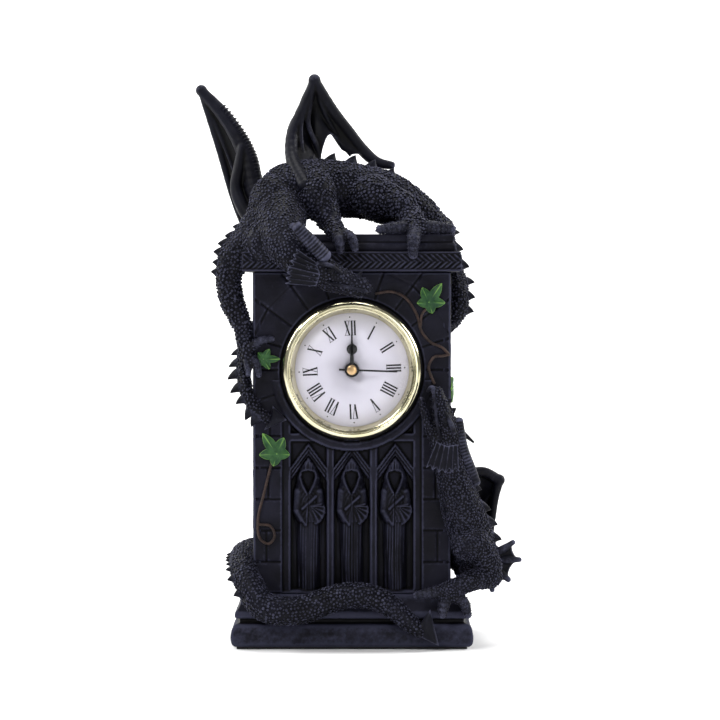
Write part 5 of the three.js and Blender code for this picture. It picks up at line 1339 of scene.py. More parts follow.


# The last number in each row darkens the tail's skin under its scales, as painted shade.
tails = [
    ("upper", upper_tail, 22, (1.02, 0.6, 0.54, 5), 0.2),
    ("lower", lower_tail, 28, (1.05, 0.63, 0.58, 6), 0.14),
]
for which, joints, sides, scaling, darker in tails:
    tail = object_from(f"{which}_tail_skin", limb(joints, sides, 9, grow=under_scales))
    lay_scales(f"{which}_tail_scales", tail, *scaling)
    finished_skin(tail, [f"{which}_dragon_tail"], full=4.0, darker=darker)
upper_tip = [(4.6, -77.4), (13.6, -73.4), (8, -67.8), (7, -72)]
upper_barb = barb([(left + x, top + z) for x, z in upper_tip], front - 3.4, 2.6)
lower_tip = [
    (left + 60, cove_bottom - 6), (left + 73.4, plinth_bottom + 1.2),
    (left + 70, cove_bottom + 2), (left + 66.4, cove_bottom - 3),
]
lower_barb = barb(lower_tip, plinth_front - 5.6, 3.4)
brushed("tail_barbs", join(upper_barb, lower_barb), "scale_resin", rounds=3, full=0.4)

# %% [markdown]
# ## The lower dragon
# It climbs the right-hand corner from the base, with its mouth open below the dial's edge. Its
# hind foot grips the plinth, and both wings are folded. It is built as the upper one is.

# %% The lower dragon's skin
lower_torso = hang(
    right, front, plinth_top, (-2, -5.6, 57, 6, 5.6), (0.6, -5.4, 48, 6.6, 6.2),
    (4, -4, 35, 8.2, 8), (7.8, 0.6, 24, 8.8, 8.6), (10, 7, 14.6, 8.8, 8.8), (9.6, 15, 9.6, 7.6, 8),
)
lower_skull = hang(
    right, front, plinth_top, (-2, -6, 58, 6.2, 5.4), (-2.2, -6.6, 66, 5.2, 4.8),
    (-4, -6.6, 74, 3.8, 3.6), (-5.6, -6.2, 81, 2.2, 2.4),
)
lower_jaw = hang(
    right, front, plinth_top, (-6, -6.6, 60, 2.6, 3), (-10, -6.6, 70, 1.9, 2.2),
    (-12, -6, 78, 1.1, 1.4),
)
lower_thigh = hang(
    right, front, plinth_top, (5.4, -7, 21, 6.2, 6), (11, -6.6, 18.4, 6, 5.8),
    (15.4, -4.6, 11, 5, 5),
)
lower_shin = [
    (right + 15.8, front - 4.4, plinth_top + 8, 5.2, 5.2),
    *hang(right, plinth_front, plinth_top, (8, -1, 6.4, 4.2, 4.4), (1, -2, 3.6, 3.7, 3.8),
          (-2.6, -2.2, 2.4, 3.3, 3.4)),
]
lower_ankle = (right - 1.6, plinth_front - 2.2, plinth_top + 2)
step_front = plinth_front - 2
lower_toes = [
    ([lower_ankle, *hang(right, step_front, plinth_top, (-8, -1, 1.8), (-14, 0, 0.6))], 2.9),
    ([lower_ankle, (right - 3.4, step_front - 1.6, plinth_top - 4),
      (right - 3.8, step_front - 1.4, cove_bottom - 0.6)], 2.9),
    ([lower_ankle, (right + 4.6, step_front - 0.6, plinth_top - 2),
      (right + 6.4, step_front - 0.4, step_bottom + 1.6)], 2.9),
]
lower_muscles = hang(
    right, front, plinth_top, (7.6, -7.6, 20.6, 8, 6.6, 6.6), (1.6, -6.4, 40, 5.8, 5.4, 8),
    (-5, -7, 60, 4, 4.2, 4.6),
)
lower_limbs = [
    (lower_torso, 1.0), (lower_skull, 0.85), (lower_jaw, 0.8), (lower_thigh, 1.05), (lower_shin, 1.0),
]
dragon("lower", lower_limbs, lower_muscles, lower_toes, 0.48, (0.9, 0.54, 0.52, 9))
bpy.data.objects.remove(scale)

# %% [markdown]
# ## Spines
# Spines stand in rows along the backs, the tails and one arm. Each row is a chain of points that
# carry three things: which way the spine stands, how it is turned along the row, and its size.
# One Geometry Nodes tree sets the same curved fin on all of them.

# %% The tree that sets spines
def fin_shape():
    """A unit fin: a curved cone, flattened across, that leans along its row."""
    rings = []
    turn = round_turns(8)
    for level, size in ((-0.25, 0.56), (0.0, 0.53), (0.3, 0.42), (0.6, 0.27), (0.84, 0.13)):
        lean = 0.36 * max(level, 0) ** 1.8
        rings.append(np.c_[np.cos(turn) * size + lean, np.sin(turn) * size * 0.55, 0 * turn + level])
    return outward(*tube(np.stack(rings), [0, 0, -0.25], [0.38, 0, 0.96]))


def setting_tree():
    """Sets one shape on every point, by the point's `turn` and `size`."""
    inputs = {"Places": "Geometry", "Shape": "Object", "Finish": "Material"}
    tree, given = new_tree("settings", inputs)
    turn, size = stored(tree, "turn", "QUATERNION"), stored(tree, "size", "FLOAT_VECTOR")
    set_copies(tree, given, given["Places"], turn, size)
    return tree


settings_tree = setting_tree()


def set_out(name, shape, places, slot, body="case", full=0.3):
    """Sets a shape on places: (point, way up, way along, size along, across and up)."""
    pattern = object_from(name + "_pattern", shape)
    pattern.data.transform(Matrix.Scale(1 / MM, 4))
    piece = object_from(name, (np.array([p[0] for p in places]), []))
    turns, sizes = [], []
    for _, up, along, size in places:
        up = Vector(up).normalized()
        along = Vector(along)
        along = (along - up * along.dot(up)).normalized()
        side = up.cross(along)
        matrix = Matrix((along, side, up)).transposed()
        turns += list(matrix.to_quaternion())
        sizes += [s * MM for s in size]
    piece.data.attributes.new("turn", "QUATERNION", "POINT").data.foreach_set("value", turns)
    piece.data.attributes.new("size", "FLOAT_VECTOR", "POINT").data.foreach_set("vector", sizes)
    run_tree(piece, settings_tree, {"Shape": pattern, "Finish": finishes[slot]})
    bpy.data.objects.remove(pattern)
    mark_high_spots(piece.data, 2, full)
    return dress(piece, slot, body)


def spine_row(joints, start, end, count, height, lean, length=1.75):
    """Places for spines along a limb. lean is the way they stand, or tells it for a place."""
    path, along, _, _, radii = strand(joints, 16)
    rows = []
    for i, share in enumerate(np.linspace(start, end, count)):
        k = round(share * (len(path) - 1))
        out = unit(np.array(lean(path[k]) if callable(lean) else lean, float))
        grown = height * (0.85 + 0.3 * abs(math.sin(2.4 * i)))
        size = (length * grown, grown * 1.5, grown * 1.1)
        rows.append((path[k] + out * radii[k, 0] * 0.92, out, along[k], size))
    return rows


upward = (0, -0.1, 1)
to_left = (-1, 0, 0.55)
to_right = (1, 0, 0.2)


def round_the_corner(place):
    """Outward beside the tower, and down where the tail has turned its corner."""
    return (-1, -0.1, -0.25) if place[2] > top - 66 else (-1, -0.1, -0.9)


spines = (
    spine_row(upper_torso, 0.3, 0.68, 5, 3.2, upward)
    + spine_row(upper_torso, 0.76, 0.98, 5, 1.9, upward)
    + spine_row(upper_left_arm, 0.12, 0.5, 6, 2.5, to_left)
    + spine_row(upper_tail, 0.12, 0.42, 7, 2.9, to_right)
    + spine_row(upper_tail, 0.8, 0.97, 7, 3.6, round_the_corner, 1.15)
    + spine_row(lower_torso, 0.3, 0.78, 5, 3.1, to_right)
    + spine_row(lower_skull, 0.25, 0.75, 4, 1.5, to_right)
    + spine_row(lower_tail, 0.34, 0.56, 8, 2.5, (-1, -0.2, 0.1))
)
set_out("spines", fin_shape(), spines, "scale_resin", full=0.9)

# %% [markdown]
# ## Heads
# The horns are blunt and ringed, so they are limbs with ridges. The frills are thin ribbed fans
# behind the cheeks: a sheet from a line at the head to a line at its edge, whose ribs are a wave
# and whose edge is scalloped between them.

# %% Sheets
def sheet(grid, thickness):
    """A closed shell round a grid of points. thickness is one number or one for each point."""
    rows, columns = grid.shape[:2]
    size = rows * columns
    normal = unit(np.cross(np.gradient(grid, axis=0), np.gradient(grid, axis=1)))
    half = (thickness * np.ones((rows, columns)))[..., None] / 2
    points = np.stack([grid + normal * half, grid - normal * half]).reshape(-1, 3)
    near = grid_faces(rows, columns)
    faces = near + [[i + size for i in face[::-1]] for face in near]
    rim = rim_of(numbered(rows, columns))
    after = np.roll(rim, -1)
    faces += np.stack([after, rim, rim + size, after + size], 1).tolist()
    return outward(points, faces)


def frill(root, edge, ribs):
    """A ribbed fan between a root line and an edge line, each a list of points."""
    s = np.linspace(0, 1, ribs * 8 + 1)
    t = np.linspace(0, 1, 15)
    inner, outer = (read_off(s, np.linspace(0, 1, len(line)), line) for line in (root, edge))
    dip = 1 - 0.14 * np.sin(math.pi * s * ribs) ** 2
    reach = t[None, :, None] * dip[:, None, None]
    grid = inner[:, None] * (1 - reach) + outer[:, None] * reach
    rib = np.abs(np.cos(math.pi * s * ribs)) ** 6
    return sheet(grid, (0.45 + 0.75 * rib)[:, None] * (1 - 0.35 * t)[None, :])


frill_depth = cornice_front - 12.4
upper_frill = frill(
    hang(left, frill_depth, top, (25.5, 1.4, -20.4), (27, 0, -16), (25.4, 0, -11.4)),
    hang(left, frill_depth, top, (13.4, 1, -19.6), (14.4, -1, -13), (17.6, 0, -6)), 6,
)
neck_level = plinth_top + 58
lower_frill = frill(
    hang(right, front, neck_level, (-6, -10.6, 3), (-2, -11.4, 1.5), (2, -10.6, 2)),
    hang(right, front, neck_level, (-10.2, -11.6, -7), (-4, -12.2, -9.2), (2.6, -11, -8.4)), 5,
)


def horn(joints):
    """A blunt horn with fine rings."""
    return limb(joints, 18, 24, ridges=0.028, ridge_pitch=1.3)


upper_horns = [
    horn(hang(left + x, cornice_front + y, top, (28.6, -10.4, -9, 2.9), (23.4, -11.6, -3.4, 2.8),
              (18, -12.4, 2.4, 2.1)))
    for x, y in ((0, 0), (-2.4, 7))
]
lower_horns = [
    horn(hang(right, front, neck_level, (2.6, -6, 11, 2), (3.8, -6, 1, 2.6), (7, -6, -7.6, 2.5),
              (9.6, -5.6, -13.4, 1.9))),
    limb(hang(right, front, neck_level, (0, -4, 10, 1.8), (8.8, -1, 2.4, 0.5)), 14, 10),
]
nose_horns_and_brows = [
    hang(left, cornice_front, top, (41.4, -7, -18.6, 1.3), (42.2, -7.8, -16.4, 0.9),
         (43, -8.2, -15, 0.4)),
    hang(right, front, plinth_top, (-5.8, -6.6, 79.6, 1.5), (-8, -6.8, 82, 1.1),
         (-9.6, -6.8, 80.8, 0.5)),
    hang(left, cornice_front, top, (26, -12.2, -11.8, 0.9), (30.6, -12.6, -12.6, 1.0),
         (35, -11.4, -15.4, 0.6)),
    hang(right, front, plinth_top, (0.8, -10.6, 64.6, 1.0), (-0.6, -11.4, 68.6, 1.0),
         (-3, -10.4, 73, 0.5)),
]
eyes = [
    ball((left + 31, cornice_front - 12.7, top - 14.6), (1.4, 0.9, 1.1)),
    ball((right - 2.6, front - 11.2, plinth_top + 69.2), (1.1, 0.9, 1.4)),
]
upper_lip = hang(
    left, cornice_front, top, (30, -11.8, -19.2), (37, -10.4, -20.8), (45, -7.8, -22.6),
)
lower_lip = hang(right, front, plinth_top, (-4.6, -10.8, 62), (-6, -10.2, 70), (-7, -8.6, 79))


def with_girths(points, girths):
    """Joints from points and how thick the limb is at each."""
    return [(*point, girth) for point, girth in zip(points, girths)]


lips = [limb(with_girths(lip, (0.5, 0.7, 0.6)), 10, 8) for lip in (upper_lip, lower_lip)]


def teeth(lip, way, length):
    """Five small cones along a lip, pointing one way."""
    roots = spline(lip, 12)[np.linspace(6, 22, 5).astype(int)]
    way = np.array(way, float)
    return [
        limb(with_girths([p, p + way * length * 0.5, p + way * length], (0.5, 0.36, 0.12)), 8, 3)
        for p in roots
    ]


head_parts = join(
    upper_frill, lower_frill, *upper_horns, *lower_horns,
    *[limb(joints, 12, 6) for joints in nose_horns_and_brows], *eyes, *lips,
    *teeth(upper_lip, (0.1, 0, -1), 1.9), *teeth(lower_lip, (-1, 0, 0.15), 2.0),
)
frill_points = len(upper_frill[0]) + len(lower_frill[0])
head_lift = np.where(np.arange(len(head_parts[0])) < frill_points, 0.1, -0.3)
brushed("horns_and_frills", head_parts, "scale_resin", rounds=3, full=0.18, lift=head_lift)

# %% [markdown]
# ## Wings
# A wing is a skin stretched from the wrist over long fingers. The sheet runs from the wrist out
# to the free edge, which dips between the fingers, and it sags a little between them. Arm and
# fingers are limbs laid on it, and the outer edge of the raised wing has a row of ridges.

# %% Wings
def bow(points, shares):
    """How far a curved bone lies off the straight line between its ends, at shares of its length."""
    path = spline(points, 10)
    walked = walked_along(path)
    at = read_off(shares * walked[-1], walked, path)
    return at - (path[0] + (path[-1] - path[0]) * shares[:, None])


def wing(lead, fingers, dips, trail, thickness=1.5, sag=1.2):
    """A wing's skin, from the wrist to the free edge, between a leading and a trailing bone."""
    across, out = 18, 28
    wrist = np.array(lead[0], float)
    ends = np.array(fingers, float)
    edge, belly = [], []
    for i, (a, b) in enumerate(zip(ends, ends[1:])):
        for k in range(0 if i == 0 else 1, across + 1):
            t = k / across
            goal = a + (b - a) * t
            scallop = math.sin(math.pi * t) ** 0.55
            edge.append(wrist + (goal - wrist) * (1 - dips[i] * scallop))
            belly.append(scallop)
    edge, belly = np.array(edge), np.array(belly)
    t = np.linspace(0.04, 1, out)
    s = np.linspace(0, 1, len(edge))[:, None, None]
    grid = wrist + (edge - wrist)[:, None] * t[None, :, None]
    grid = grid + (1 - s) ** 2 * bow(lead, t)[None] + s**2 * bow(trail, t)[None]
    facing = unit(np.cross(ends[0] - wrist, ends[-1] - wrist))
    folds = 0.22 * np.sin(t * 9)[None, :] * belly[:, None]
    hollow = sag * belly[:, None] * np.sin(math.pi * t * 0.6)[None, :]
    grid = grid + facing * (hollow + folds)[..., None]
    return sheet(grid, thickness * (1 - 0.4 * t)[None, :])


def bone(points, thick, thin, knuckles=0.0):
    """A tapering bone through points, with rings of skin."""
    last = len(points) - 1
    girths = [thick + (thin - thick) * i / last for i in range(last + 1)]
    return limb(with_girths(points, girths), 14, 10, ridges=knuckles, ridge_pitch=1.5)


left_wrist = (left - 21.4, 3, top + 58.2)
left_arm = [
    left_wrist,
    *hang(left, 0, top, (-13.8, 2, 50), (-7, 0.6, 40), (-3, -1, 31), (-1, -3, 21), (2, -5, 13)),
]
left_edge = [left_wrist, *hang(left, 0, top, (-15, 9, 36), (-9.6, 15, 15.6), (-4.4, 20, 0.6))]
left_fingers = [*hang(left, 0, top, (1, -4, 15), (-2, 12, 7)), left_edge[-1]]
left_inner = hang(
    left, 0, top, (-5.4, -2.6, 36), (-6.6, -4.4, 27), (-7.6, -5.4, 19), (-4.6, -7.4, 11),
    (0, -9.4, 5),
)
left_wing = skin("upper_left_wing", [
    wing(left_arm, left_fingers, (0.02, 0.04), left_edge),
    bone(left_arm, 2.2, 5.2, 0.02),
    bone(left_edge, 2.0, 1.1, 0.03),
    bone([left_wrist, (left - 11, 7.5, top + 32), left_fingers[1]], 1.0, 0.6),
    limb(with_girths(left_inner, (1.6, 2.2, 2.4, 2.8, 3.2)), 16, 8),
    ball((left_wrist[0] - 0.6, left_wrist[1], left_wrist[2] + 0.8), 2.4),
], voxel=0.42, smoothing=2)
finished_skin(left_wing, ["upper_dragon_left_wing"], full=0.5, darker=0.42, rounds=30)

right_wrist = (left + 24, 1, top + 62.4)
right_arm = [
    right_wrist,
    *hang(left, 0, top, (19.2, 0, 51), (15.2, -2, 41), (15, -7, 32), (17.2, -14, 25.4),
          (20.6, -19.4, 19.4)),
]
right_edge = [
    right_wrist,
    *hang(left, 0, top, (31.2, 3, 51), (37.2, 4.6, 43.2), (43.8, 6.2, 34.8), (49.4, 7, 30.2),
          (55.6, 7.4, 28.8)),
]
right_fingers = hang(
    left, 0, top, (16.6, -11.6, 27.4), (26.4, 0.4, 28.6), (38.4, 5, 32.6), (52, 7, 29.4),
)
right_wing = skin("upper_right_wing", [
    wing(right_arm, right_fingers, (0.0, 0.32, 0.05), right_edge),
    bone(right_arm, 2.2, 3.2, 0.035),
    limb(with_girths(right_edge, (2.4, 2.4, 2.4, 2.5, 2.2, 1.7)), 16, 12, ridges=0.03, ridge_pitch=1.8),
    bone([right_wrist, *hang(left, 0, top, (21.4, -0.4, 46), (25, 0.4, 36)), right_fingers[1]], 1.3, 0.8),
    bone([right_wrist, *hang(left, 0, top, (18.6, -2, 45), (20, -5, 29))], 1.2, 0.8),
    bone([right_wrist, (left + 28.6, 2, top + 49), right_fingers[2]], 1.3, 0.5),
    ball((right_wrist[0], right_wrist[1], right_wrist[2] + 0.6), 2.6),
    bone(hang(left, 0, top, (17.2, -14, 25.4), (20.8, -19.6, 19.2), (24, -22.8, 12.6)), 2.8, 1.2),
], voxel=0.42, smoothing=2)
finished_skin(right_wing, ["upper_dragon_right_wing"], full=0.5, darker=0.42, rounds=30)

pebble = ball((0, 0, 0), 1.0)
arm_path = spline(left_arm, 14)
arm_along = unit(np.gradient(arm_path, axis=0))
outer_side = unit(np.array([0.75, -0.45, 0.5]))
arm_ridges = [
    (arm_path[k] + outer_side * (2.0 + 0.03 * k), outer_side, arm_along[k], (0.45, 2.4, 1.0))
    for k in range(12, 60, 2)
]
set_out("wing_ridges", pebble, arm_ridges, "scale_resin")

# %% [markdown]
# The lower dragon's wings are folded: the upper one is a dark pocket behind its back, and the
# lower one a small fan of claws at its hip.

# %% Folded wings
knuckle = (right + 19.6, front + 9, plinth_top + 44.6)
pocket_arm = [knuckle, *hang(right, front, plinth_top, (13.4, 7.6, 48), (6.4, 6, 47.6))]
pocket_edge = [knuckle, *hang(right, front, plinth_top, (18, 10, 38), (17, 11, 30), (15.6, 13, 18))]
pocket_fingers = [pocket_arm[-1], (right + 7, front + 14, plinth_top + 24), pocket_edge[-1]]
pocket = skin("lower_upper_wing", [
    wing(pocket_arm, pocket_fingers, (0.02, 0.04), pocket_edge, sag=-2.0),
    bone(pocket_arm, 2.1, 1.9, 0.05),
    bone(pocket_edge, 2.0, 1.3, 0.05),
    ball(knuckle, 2.4),
], voxel=0.4, smoothing=2)
finished_skin(pocket, ["lower_dragon_upper_wing"], full=0.6, darker=0.2, rounds=20)

fan_root = (right + 14.6, front + 2, plinth_top + 13.6)
fan_claws = hang(
    right, front, plinth_top, (24.8, 0.6, 20.6), (27.4, 0.6, 13.6), (23, 1, 5.4), (16.6, 3, 1),
)
fan = skin("lower_lower_wing", [
    wing([fan_root, fan_claws[0]], fan_claws, (0.14, 0.16, 0.12), [fan_root, fan_claws[-1]],
         thickness=2.6, sag=0.8),
    *[bone([fan_root, claw], 2.2, 1.1, 0.06) for claw in fan_claws],
], voxel=0.36, smoothing=1)
finished_skin(fan, ["lower_dragon_lower_wing"], full=0.3, darker=-0.15, rounds=10)

# %% [markdown]
# ## Ivy
# The stems are thin limbs lying on the stone. A leaf starts from a star of five lobes, drawn as
# how far its edge is at each angle. Rings between its middle and that edge are lifted along
# the five veins, and the whole leaf is cupped, so the light rolls over it.

# %% Ivy
stem_radius = 0.54
stem_axis = front - stem_radius - 0.1
ivy_hang = dial_z - 109.9
right_stem = [
    (9.5, 140), (15.5, 140.8), (21, 138.5), (25.5, 132), (27.6, 125), (31.5, 120.6), (35.6, 118.8),
    (38.4, 116),
]
leaf_stem = [(27.2, 127.4), (27.6, 131.6), (29.4, 134.2)]
hooked_stem = [(38.4, 116), (36, 115.4), (32.4, 114.9), (30.4, 111), (31.6, 106.8), (32.6, 104.6)]
left_stem = [
    (-31.4, 74.6), (-34.4, 62.6), (-37.2, 50.4), (-36.4, 43), (-33, 41), (-30.6, 44), (-32.4, 48),
    (-36.8, 48.6),
]


def stem(points, radius=stem_radius):
    """A vine stem on the wall, through points in x and height."""
    joints = [(x, stem_axis, z + ivy_hang, radius) for x, z in points]
    return limb(joints, 12, 10, ridges=0.04, ridge_pitch=2.3)


right_vine = join(stem(right_stem), stem(leaf_stem, 0.5), stem(hooked_stem))
for name, vine, node in (
    ("right_vine", right_vine, "ivy_stem_right"),
    ("left_vine", stem(left_stem), "ivy_stem_left"),
):
    brushed(name, vine, "stem_paint", [node], rounds=3, full=0.1)


def leaf_reach(degrees):
    """How far the edge of an ivy leaf lies from its middle, and how near each angle is to a vein."""
    lobes = [(0, 0.84), (58, 0.6), (128, 0.42), (232, 0.42), (302, 0.6), (360, 0.84)]
    notches = [0.38, 0.31, 0.22, 0.31, 0.38]
    vein_width = 0.11
    reach, vein = np.zeros(len(degrees)), np.zeros(len(degrees))
    for (low, before), (high, after), notch in zip(lobes, lobes[1:], notches):
        inside = (degrees >= low) & (degrees < high)
        share = (degrees - low) / (high - low)
        lobe = np.where(share < 0.5, before, after)
        off = 1 - np.abs(2 * share - 1)
        curve = notch + (lobe - notch) * (1 - np.clip(off, 0, 1)) ** 1.1
        reach = np.where(inside, curve, reach)
        vein = np.where(inside, np.exp(-((off / vein_width) ** 2)), vein)
    return reach, vein


def leaf(x, z, length, turn, depth):
    """An ivy leaf on the wall, whose back lies at a depth."""
    degrees = np.arange(0, 360, 4.0)
    reach, vein = leaf_reach(degrees)
    angles = np.radians(degrees)
    drop = 0.2
    across, up = -np.sin(angles) * reach * length, (np.cos(angles) * reach - drop) * length
    cos, sin = math.cos(math.radians(turn)), math.sin(math.radians(turn))
    rings = []
    for share in (1.0, 0.95, 0.85, 0.7, 0.55, 0.4, 0.25, 0.1):
        u, v = across * share, (up + drop * length) * share - drop * length
        ripple = 0.14 * np.sin(angles * 7 + share * 5) * share
        lift = 0.15 + 0.6 * (1 - share**2) + 0.4 * vein * min(1.0, 1.6 * share) + ripple
        rings.append(np.c_[x + u * cos - v * sin, depth - 0.3 - lift, z + u * sin + v * cos])
    behind = rings[0].copy()
    behind[:, 1] = depth - 0.1
    loops = np.stack([behind, *rings])
    middle = np.array([x + drop * length * sin, depth - 0.1, z - drop * length * cos])
    return outward(*tube(loops, middle, middle - [0, 1.2, 0]))


def round_corner(shape):
    """Folds what reaches past the tower's right corner back along its side."""
    points, faces = shape
    past = points[:, 0] > right
    along, proud = points[past, 0] - right, front - points[past, 1]
    points[past, 0] = right + proud
    points[past, 1] = front + along
    return points, faces


over_stem = stem_axis - stem_radius
leaves = {
    "ivy_leaf_top": (31.6, 138.4, 11, -34, over_stem),
    "ivy_leaf_middle": (-33.4, 114.2, 8, -90, over_stem),
    "ivy_leaf_low": (-31, 78.6, 12, 35, over_stem),
    "ivy_leaf_side": (right + 4.4, 102.4, 9, 170, front),
}
for node, (x, z, length, turn, depth) in leaves.items():
    shape = round_corner(leaf(x, z + ivy_hang, length, turn, depth))
    brushed(node.replace("ivy_", "painted_"), shape, "leaf_paint", [node], rounds=2, full=0.2)

# %% [markdown]
# ## The clock
# The gilt clock is turned work: each part is a profile spun about the dial's centre. It rides on
# the insert's body, because the whole clock pulls out of the wall. Profiles are given as
# radius and distance out of the tower's front, and closed on themselves or on the axis.

# %% Turned parts
def turned_rings(profile, segments):
    """A ring of points about the dial's centre for each [radius, out] of a profile."""
    turn = round_turns(segments)
    return np.stack([
        np.c_[radius * np.cos(turn), 0 * turn + (front - out), dial_z + radius * np.sin(turn)]
        for radius, out in profile
    ])


def spun(profile, segments=128):
    """A turned shape about the dial's centre, from a closed profile of [radius, out]."""
    index = numbered(len(profile), segments)
    faces = ring_walls(np.vstack([index, index[:1]]))
    return outward(turned_rings(profile, segments).reshape(-1, 3), faces)


def rounded(profile, size=0.18, steps=4):
    """Rounds every corner of a closed profile."""
    sharp = np.array(profile, float)
    points = []
    for before, here, after in zip(np.roll(sharp, 1, 0), sharp, np.roll(sharp, -1, 0)):
        back_way, on_way = before - here, after - here
        reach = min(size, 0.45 * np.linalg.norm(back_way), 0.45 * np.linalg.norm(on_way))
        a, b = here + unit(back_way) * reach, here + unit(on_way) * reach
        for t in np.linspace(0, 1, steps):
            points.append((1 - t) ** 2 * a + 2 * t * (1 - t) * here + t * t * b)
    return points


def clock_part(name, shape, slot, replaces=(), body="insert"):
    """A piece of the clock with its finish."""
    piece = object_from(name, shape)
    return dress(piece, slot, body, replaces)


bezel_bore = 24.8
bezel_profile = [
    (bezel_bore, -1.5), (27.5, -1.5), (27.5, 2.4), (27.4, 3.0), (27.1, 3.6), (26.6, 4.15), (26.0, 4.5),
    (25.4, 4.6), (25.15, 4.35), (25.0, 4.0), (bezel_bore, 4.05),
]
clock_part("gilt_bezel", spun(rounded(bezel_profile, 0.25)), "gilt_metal", ["bezel"])
ring_profile = [(22.5, 0.1), (24.7, 0.1), (24.7, 3.2), (24.1, 2.9), (22.8, 0.5)]
clock_part("gilt_reflector", spun(rounded(ring_profile, 0.12, 3)), "gilt_metal", ["reflector_ring"])

# %% [markdown]
# The lens and the seconds cap close on the axis, so their profile is spun with end points. The
# dial is a card with a hole for the hands.

# %% Lens, dial and cap
def domed(profile, segments=96):
    """A turned shape whose profile starts and ends on the axis, listed from its inner face out."""
    ends = [[0, front - out, dial_z] for _, out in (profile[0], profile[-1])]
    return outward(*tube(turned_rings(profile[1:-1], segments), *ends))


def dome_profile(radius, edge, rise, thickness):
    """Under and over faces of a shallow dome."""
    shares = np.linspace(0, 1, 14)
    under = [(radius * s, edge + rise * (1 - s * s)) for s in shares]
    over = [(r, out + thickness) for r, out in reversed(under)]
    return under + over


clock_part("domed_lens", domed(dome_profile(24.7, 3.3, 1.1, 1.0)), "clear_glass", ["lens"])
card_profile = [(2.2, -0.4), (24.4, -0.4), (24.4, 0.0), (2.2, 0.0)]
clock_part("dial_card", spun(card_profile, 96), "dial_card", ["dial"])
cap_profile = [
    (0, 2.9), (1.7, 2.9), (2.0, 3.05), (1.95, 3.25), (1.6, 3.45), (1.0, 3.53), (0.4, 3.56), (0, 3.56),
]
clock_part("seconds_cap", domed(cap_profile, 48), "brass_sheet", ["second_hand_cap"], "seconds_train")

# %% [markdown]
# The numerals are roman and stand radially. A numeral is drawn from three strokes: an upright
# for I, two slants for V, two crossing slants for X, each thick or thin as a broad pen makes
# them, with serif lines along the top and the foot. They are flat prisms a hair above the card.

# %% Numerals and dots
numeral_foot, numeral_head = 13.7, 19.4
thick_stroke, thin_stroke, serif = 0.66, 0.22, 0.17
letter_margin, serif_margin = 0.45, 0.1
card_turn = 2.4
letter_widths = {"I": 1.15, "V": 2.5, "X": 2.5}


def stroke(start, end, width):
    """A straight stroke on the dial as four corners in its own plane, square at its ends."""
    (x0, y0), (x1, y1) = start, end
    half = width / 2 * math.hypot(x1 - x0, y1 - y0) / abs(y1 - y0)
    return [(x0 - half, y0), (x0 + half, y0), (x1 + half, y1), (x1 - half, y1)]


def line(x0, x1, y, width):
    """A serif: a thin line across."""
    return [(x0, y - width / 2), (x1, y - width / 2), (x1, y + width / 2), (x0, y + width / 2)]


def numeral(text):
    """The strokes of a roman numeral, centred on x = 0 with its foot at the inner radius."""
    low, high = numeral_foot, numeral_head
    at = -sum(letter_widths[c] for c in text) / 2
    strokes = []
    for c in text:
        width = letter_widths[c]
        middle = at + width / 2
        spread = width / 2 - letter_margin
        if c == "I":
            strokes.append(stroke((middle, low), (middle, high), thick_stroke))
        if c == "V":
            strokes.append(stroke((middle, low), (middle - spread, high), thick_stroke))
            strokes.append(stroke((middle, low), (middle + spread, high), thin_stroke))
        if c == "X":
            strokes.append(stroke((middle + spread, low), (middle - spread, high), thick_stroke))
            strokes.append(stroke((middle - spread, low), (middle + spread, high), thin_stroke))
        serif_levels = (high,) if c == "V" else (high, low)
        for level in serif_levels:
            strokes.append(line(at + serif_margin, at + width - serif_margin, level, serif))
        at += width
    return strokes


def on_dial(corners_flat, degrees, low=0.01, high=0.05):
    """Turns a flat outline about the dial's centre and gives it a hair of thickness."""
    c, s = math.cos(math.radians(degrees)), math.sin(math.radians(degrees))
    flat = [(x * c + y * s, y * c - x * s) for x, y in corners_flat]
    count = len(flat)
    points = [(x, front - out, dial_z + y) for out in (low, high) for x, y in flat]
    faces = [list(range(count - 1, -1, -1)), list(range(count, 2 * count))]
    faces += [[i, (i + 1) % count, (i + 1) % count + count, i + count] for i in range(count)]
    return outward(np.array(points, float), faces)


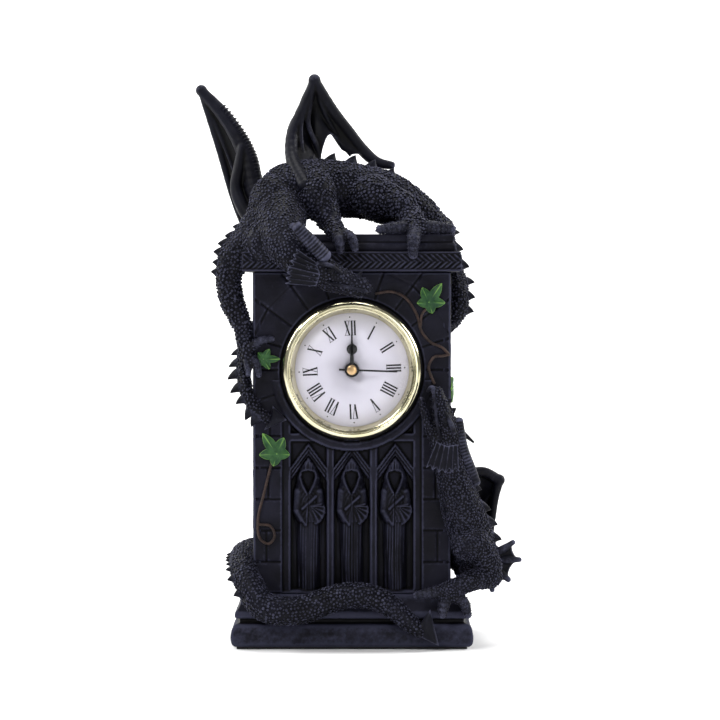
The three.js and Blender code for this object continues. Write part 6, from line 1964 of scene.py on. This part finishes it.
words = ["XII", "I", "II", "III", "IIII", "V", "VI", "VII", "VIII", "IX", "X", "XI"]
hour_turns = [30 * hour - card_turn for hour in range(12)]
marks = [on_dial(part, turn) for turn, word in zip(hour_turns, words) for part in numeral(word)]
clock_part("numerals", join(*marks), "black_sheet").data.shade_flat()


def disc_outline(y, radius, sides=16):
    """A round outline on the dial's upright line."""
    return [(radius * math.cos(a), y + radius * math.sin(a)) for a in round_turns(sides)]


dot_points, dot_faces = on_dial(disc_outline(0, 1.0), 0, 0, 0.04)
dot_ring, dot_radius = 20.9, 0.27
dot_places = []
for turn in np.radians(hour_turns):
    place = (dot_ring * math.sin(turn), front - 0.01, dial_z + dot_ring * math.cos(turn))
    dot_places.append((place, (0, 0, 1), (1, 0, 0), (dot_radius, 1, dot_radius)))
dot_shape = (dot_points - [0, front, dial_z], dot_faces)
set_out("hour_dots", dot_shape, dot_places, "black_sheet", "insert")

# %% [markdown]
# The hands are cut from black sheet and lie in three levels. They are drawn pointing at twelve
# and turned clockwise from there. The outline of the hour and minute hands swells into a ball,
# which here is a separate disc in the same sheet.

# %% Hands
sheet_thickness = 0.25
ball_level = 8.2


def hand(parts, out, degrees=0.0):
    """Flat parts of one sheet, each an outline, at a level in front of the dial."""
    return join(*[on_dial(part, degrees, out, out + sheet_thickness) for part in parts])


def ball_hand(length, boss, width, tip):
    """A tapering blade on a round boss, with a ball on it."""
    waist = width * 0.7
    blade = [
        (-width, 0), (width, 0), (waist, ball_level), (tip, length), (-tip, length), (-waist, ball_level),
    ]
    return [blade, disc_outline(0, boss, 40), disc_outline(ball_level, 2.1, 32)]


hour_parts = ball_hand(13.2, 2.9, 0.85, 0.3)
minute_parts = ball_hand(19.6, 2.4, 0.6, 0.22)
second_blade = [(-0.4, -5.1), (0.4, -5.1), (0.35, 17.9), (-0.35, 17.9)]
second_parts = [second_blade, disc_outline(0, 1.3, 24)]
hands = {
    "hour_hand": ("hour_train", hand(hour_parts, 0.95)),
    "minute_hand": ("minute_train", hand(minute_parts, 1.75)),
    "second_hand": ("seconds_train", hand(second_parts, 2.6, 92)),
}
for node, (body, shape) in hands.items():
    clock_part(node + "_sheet", shape, "black_sheet", [node], body).data.shade_flat()
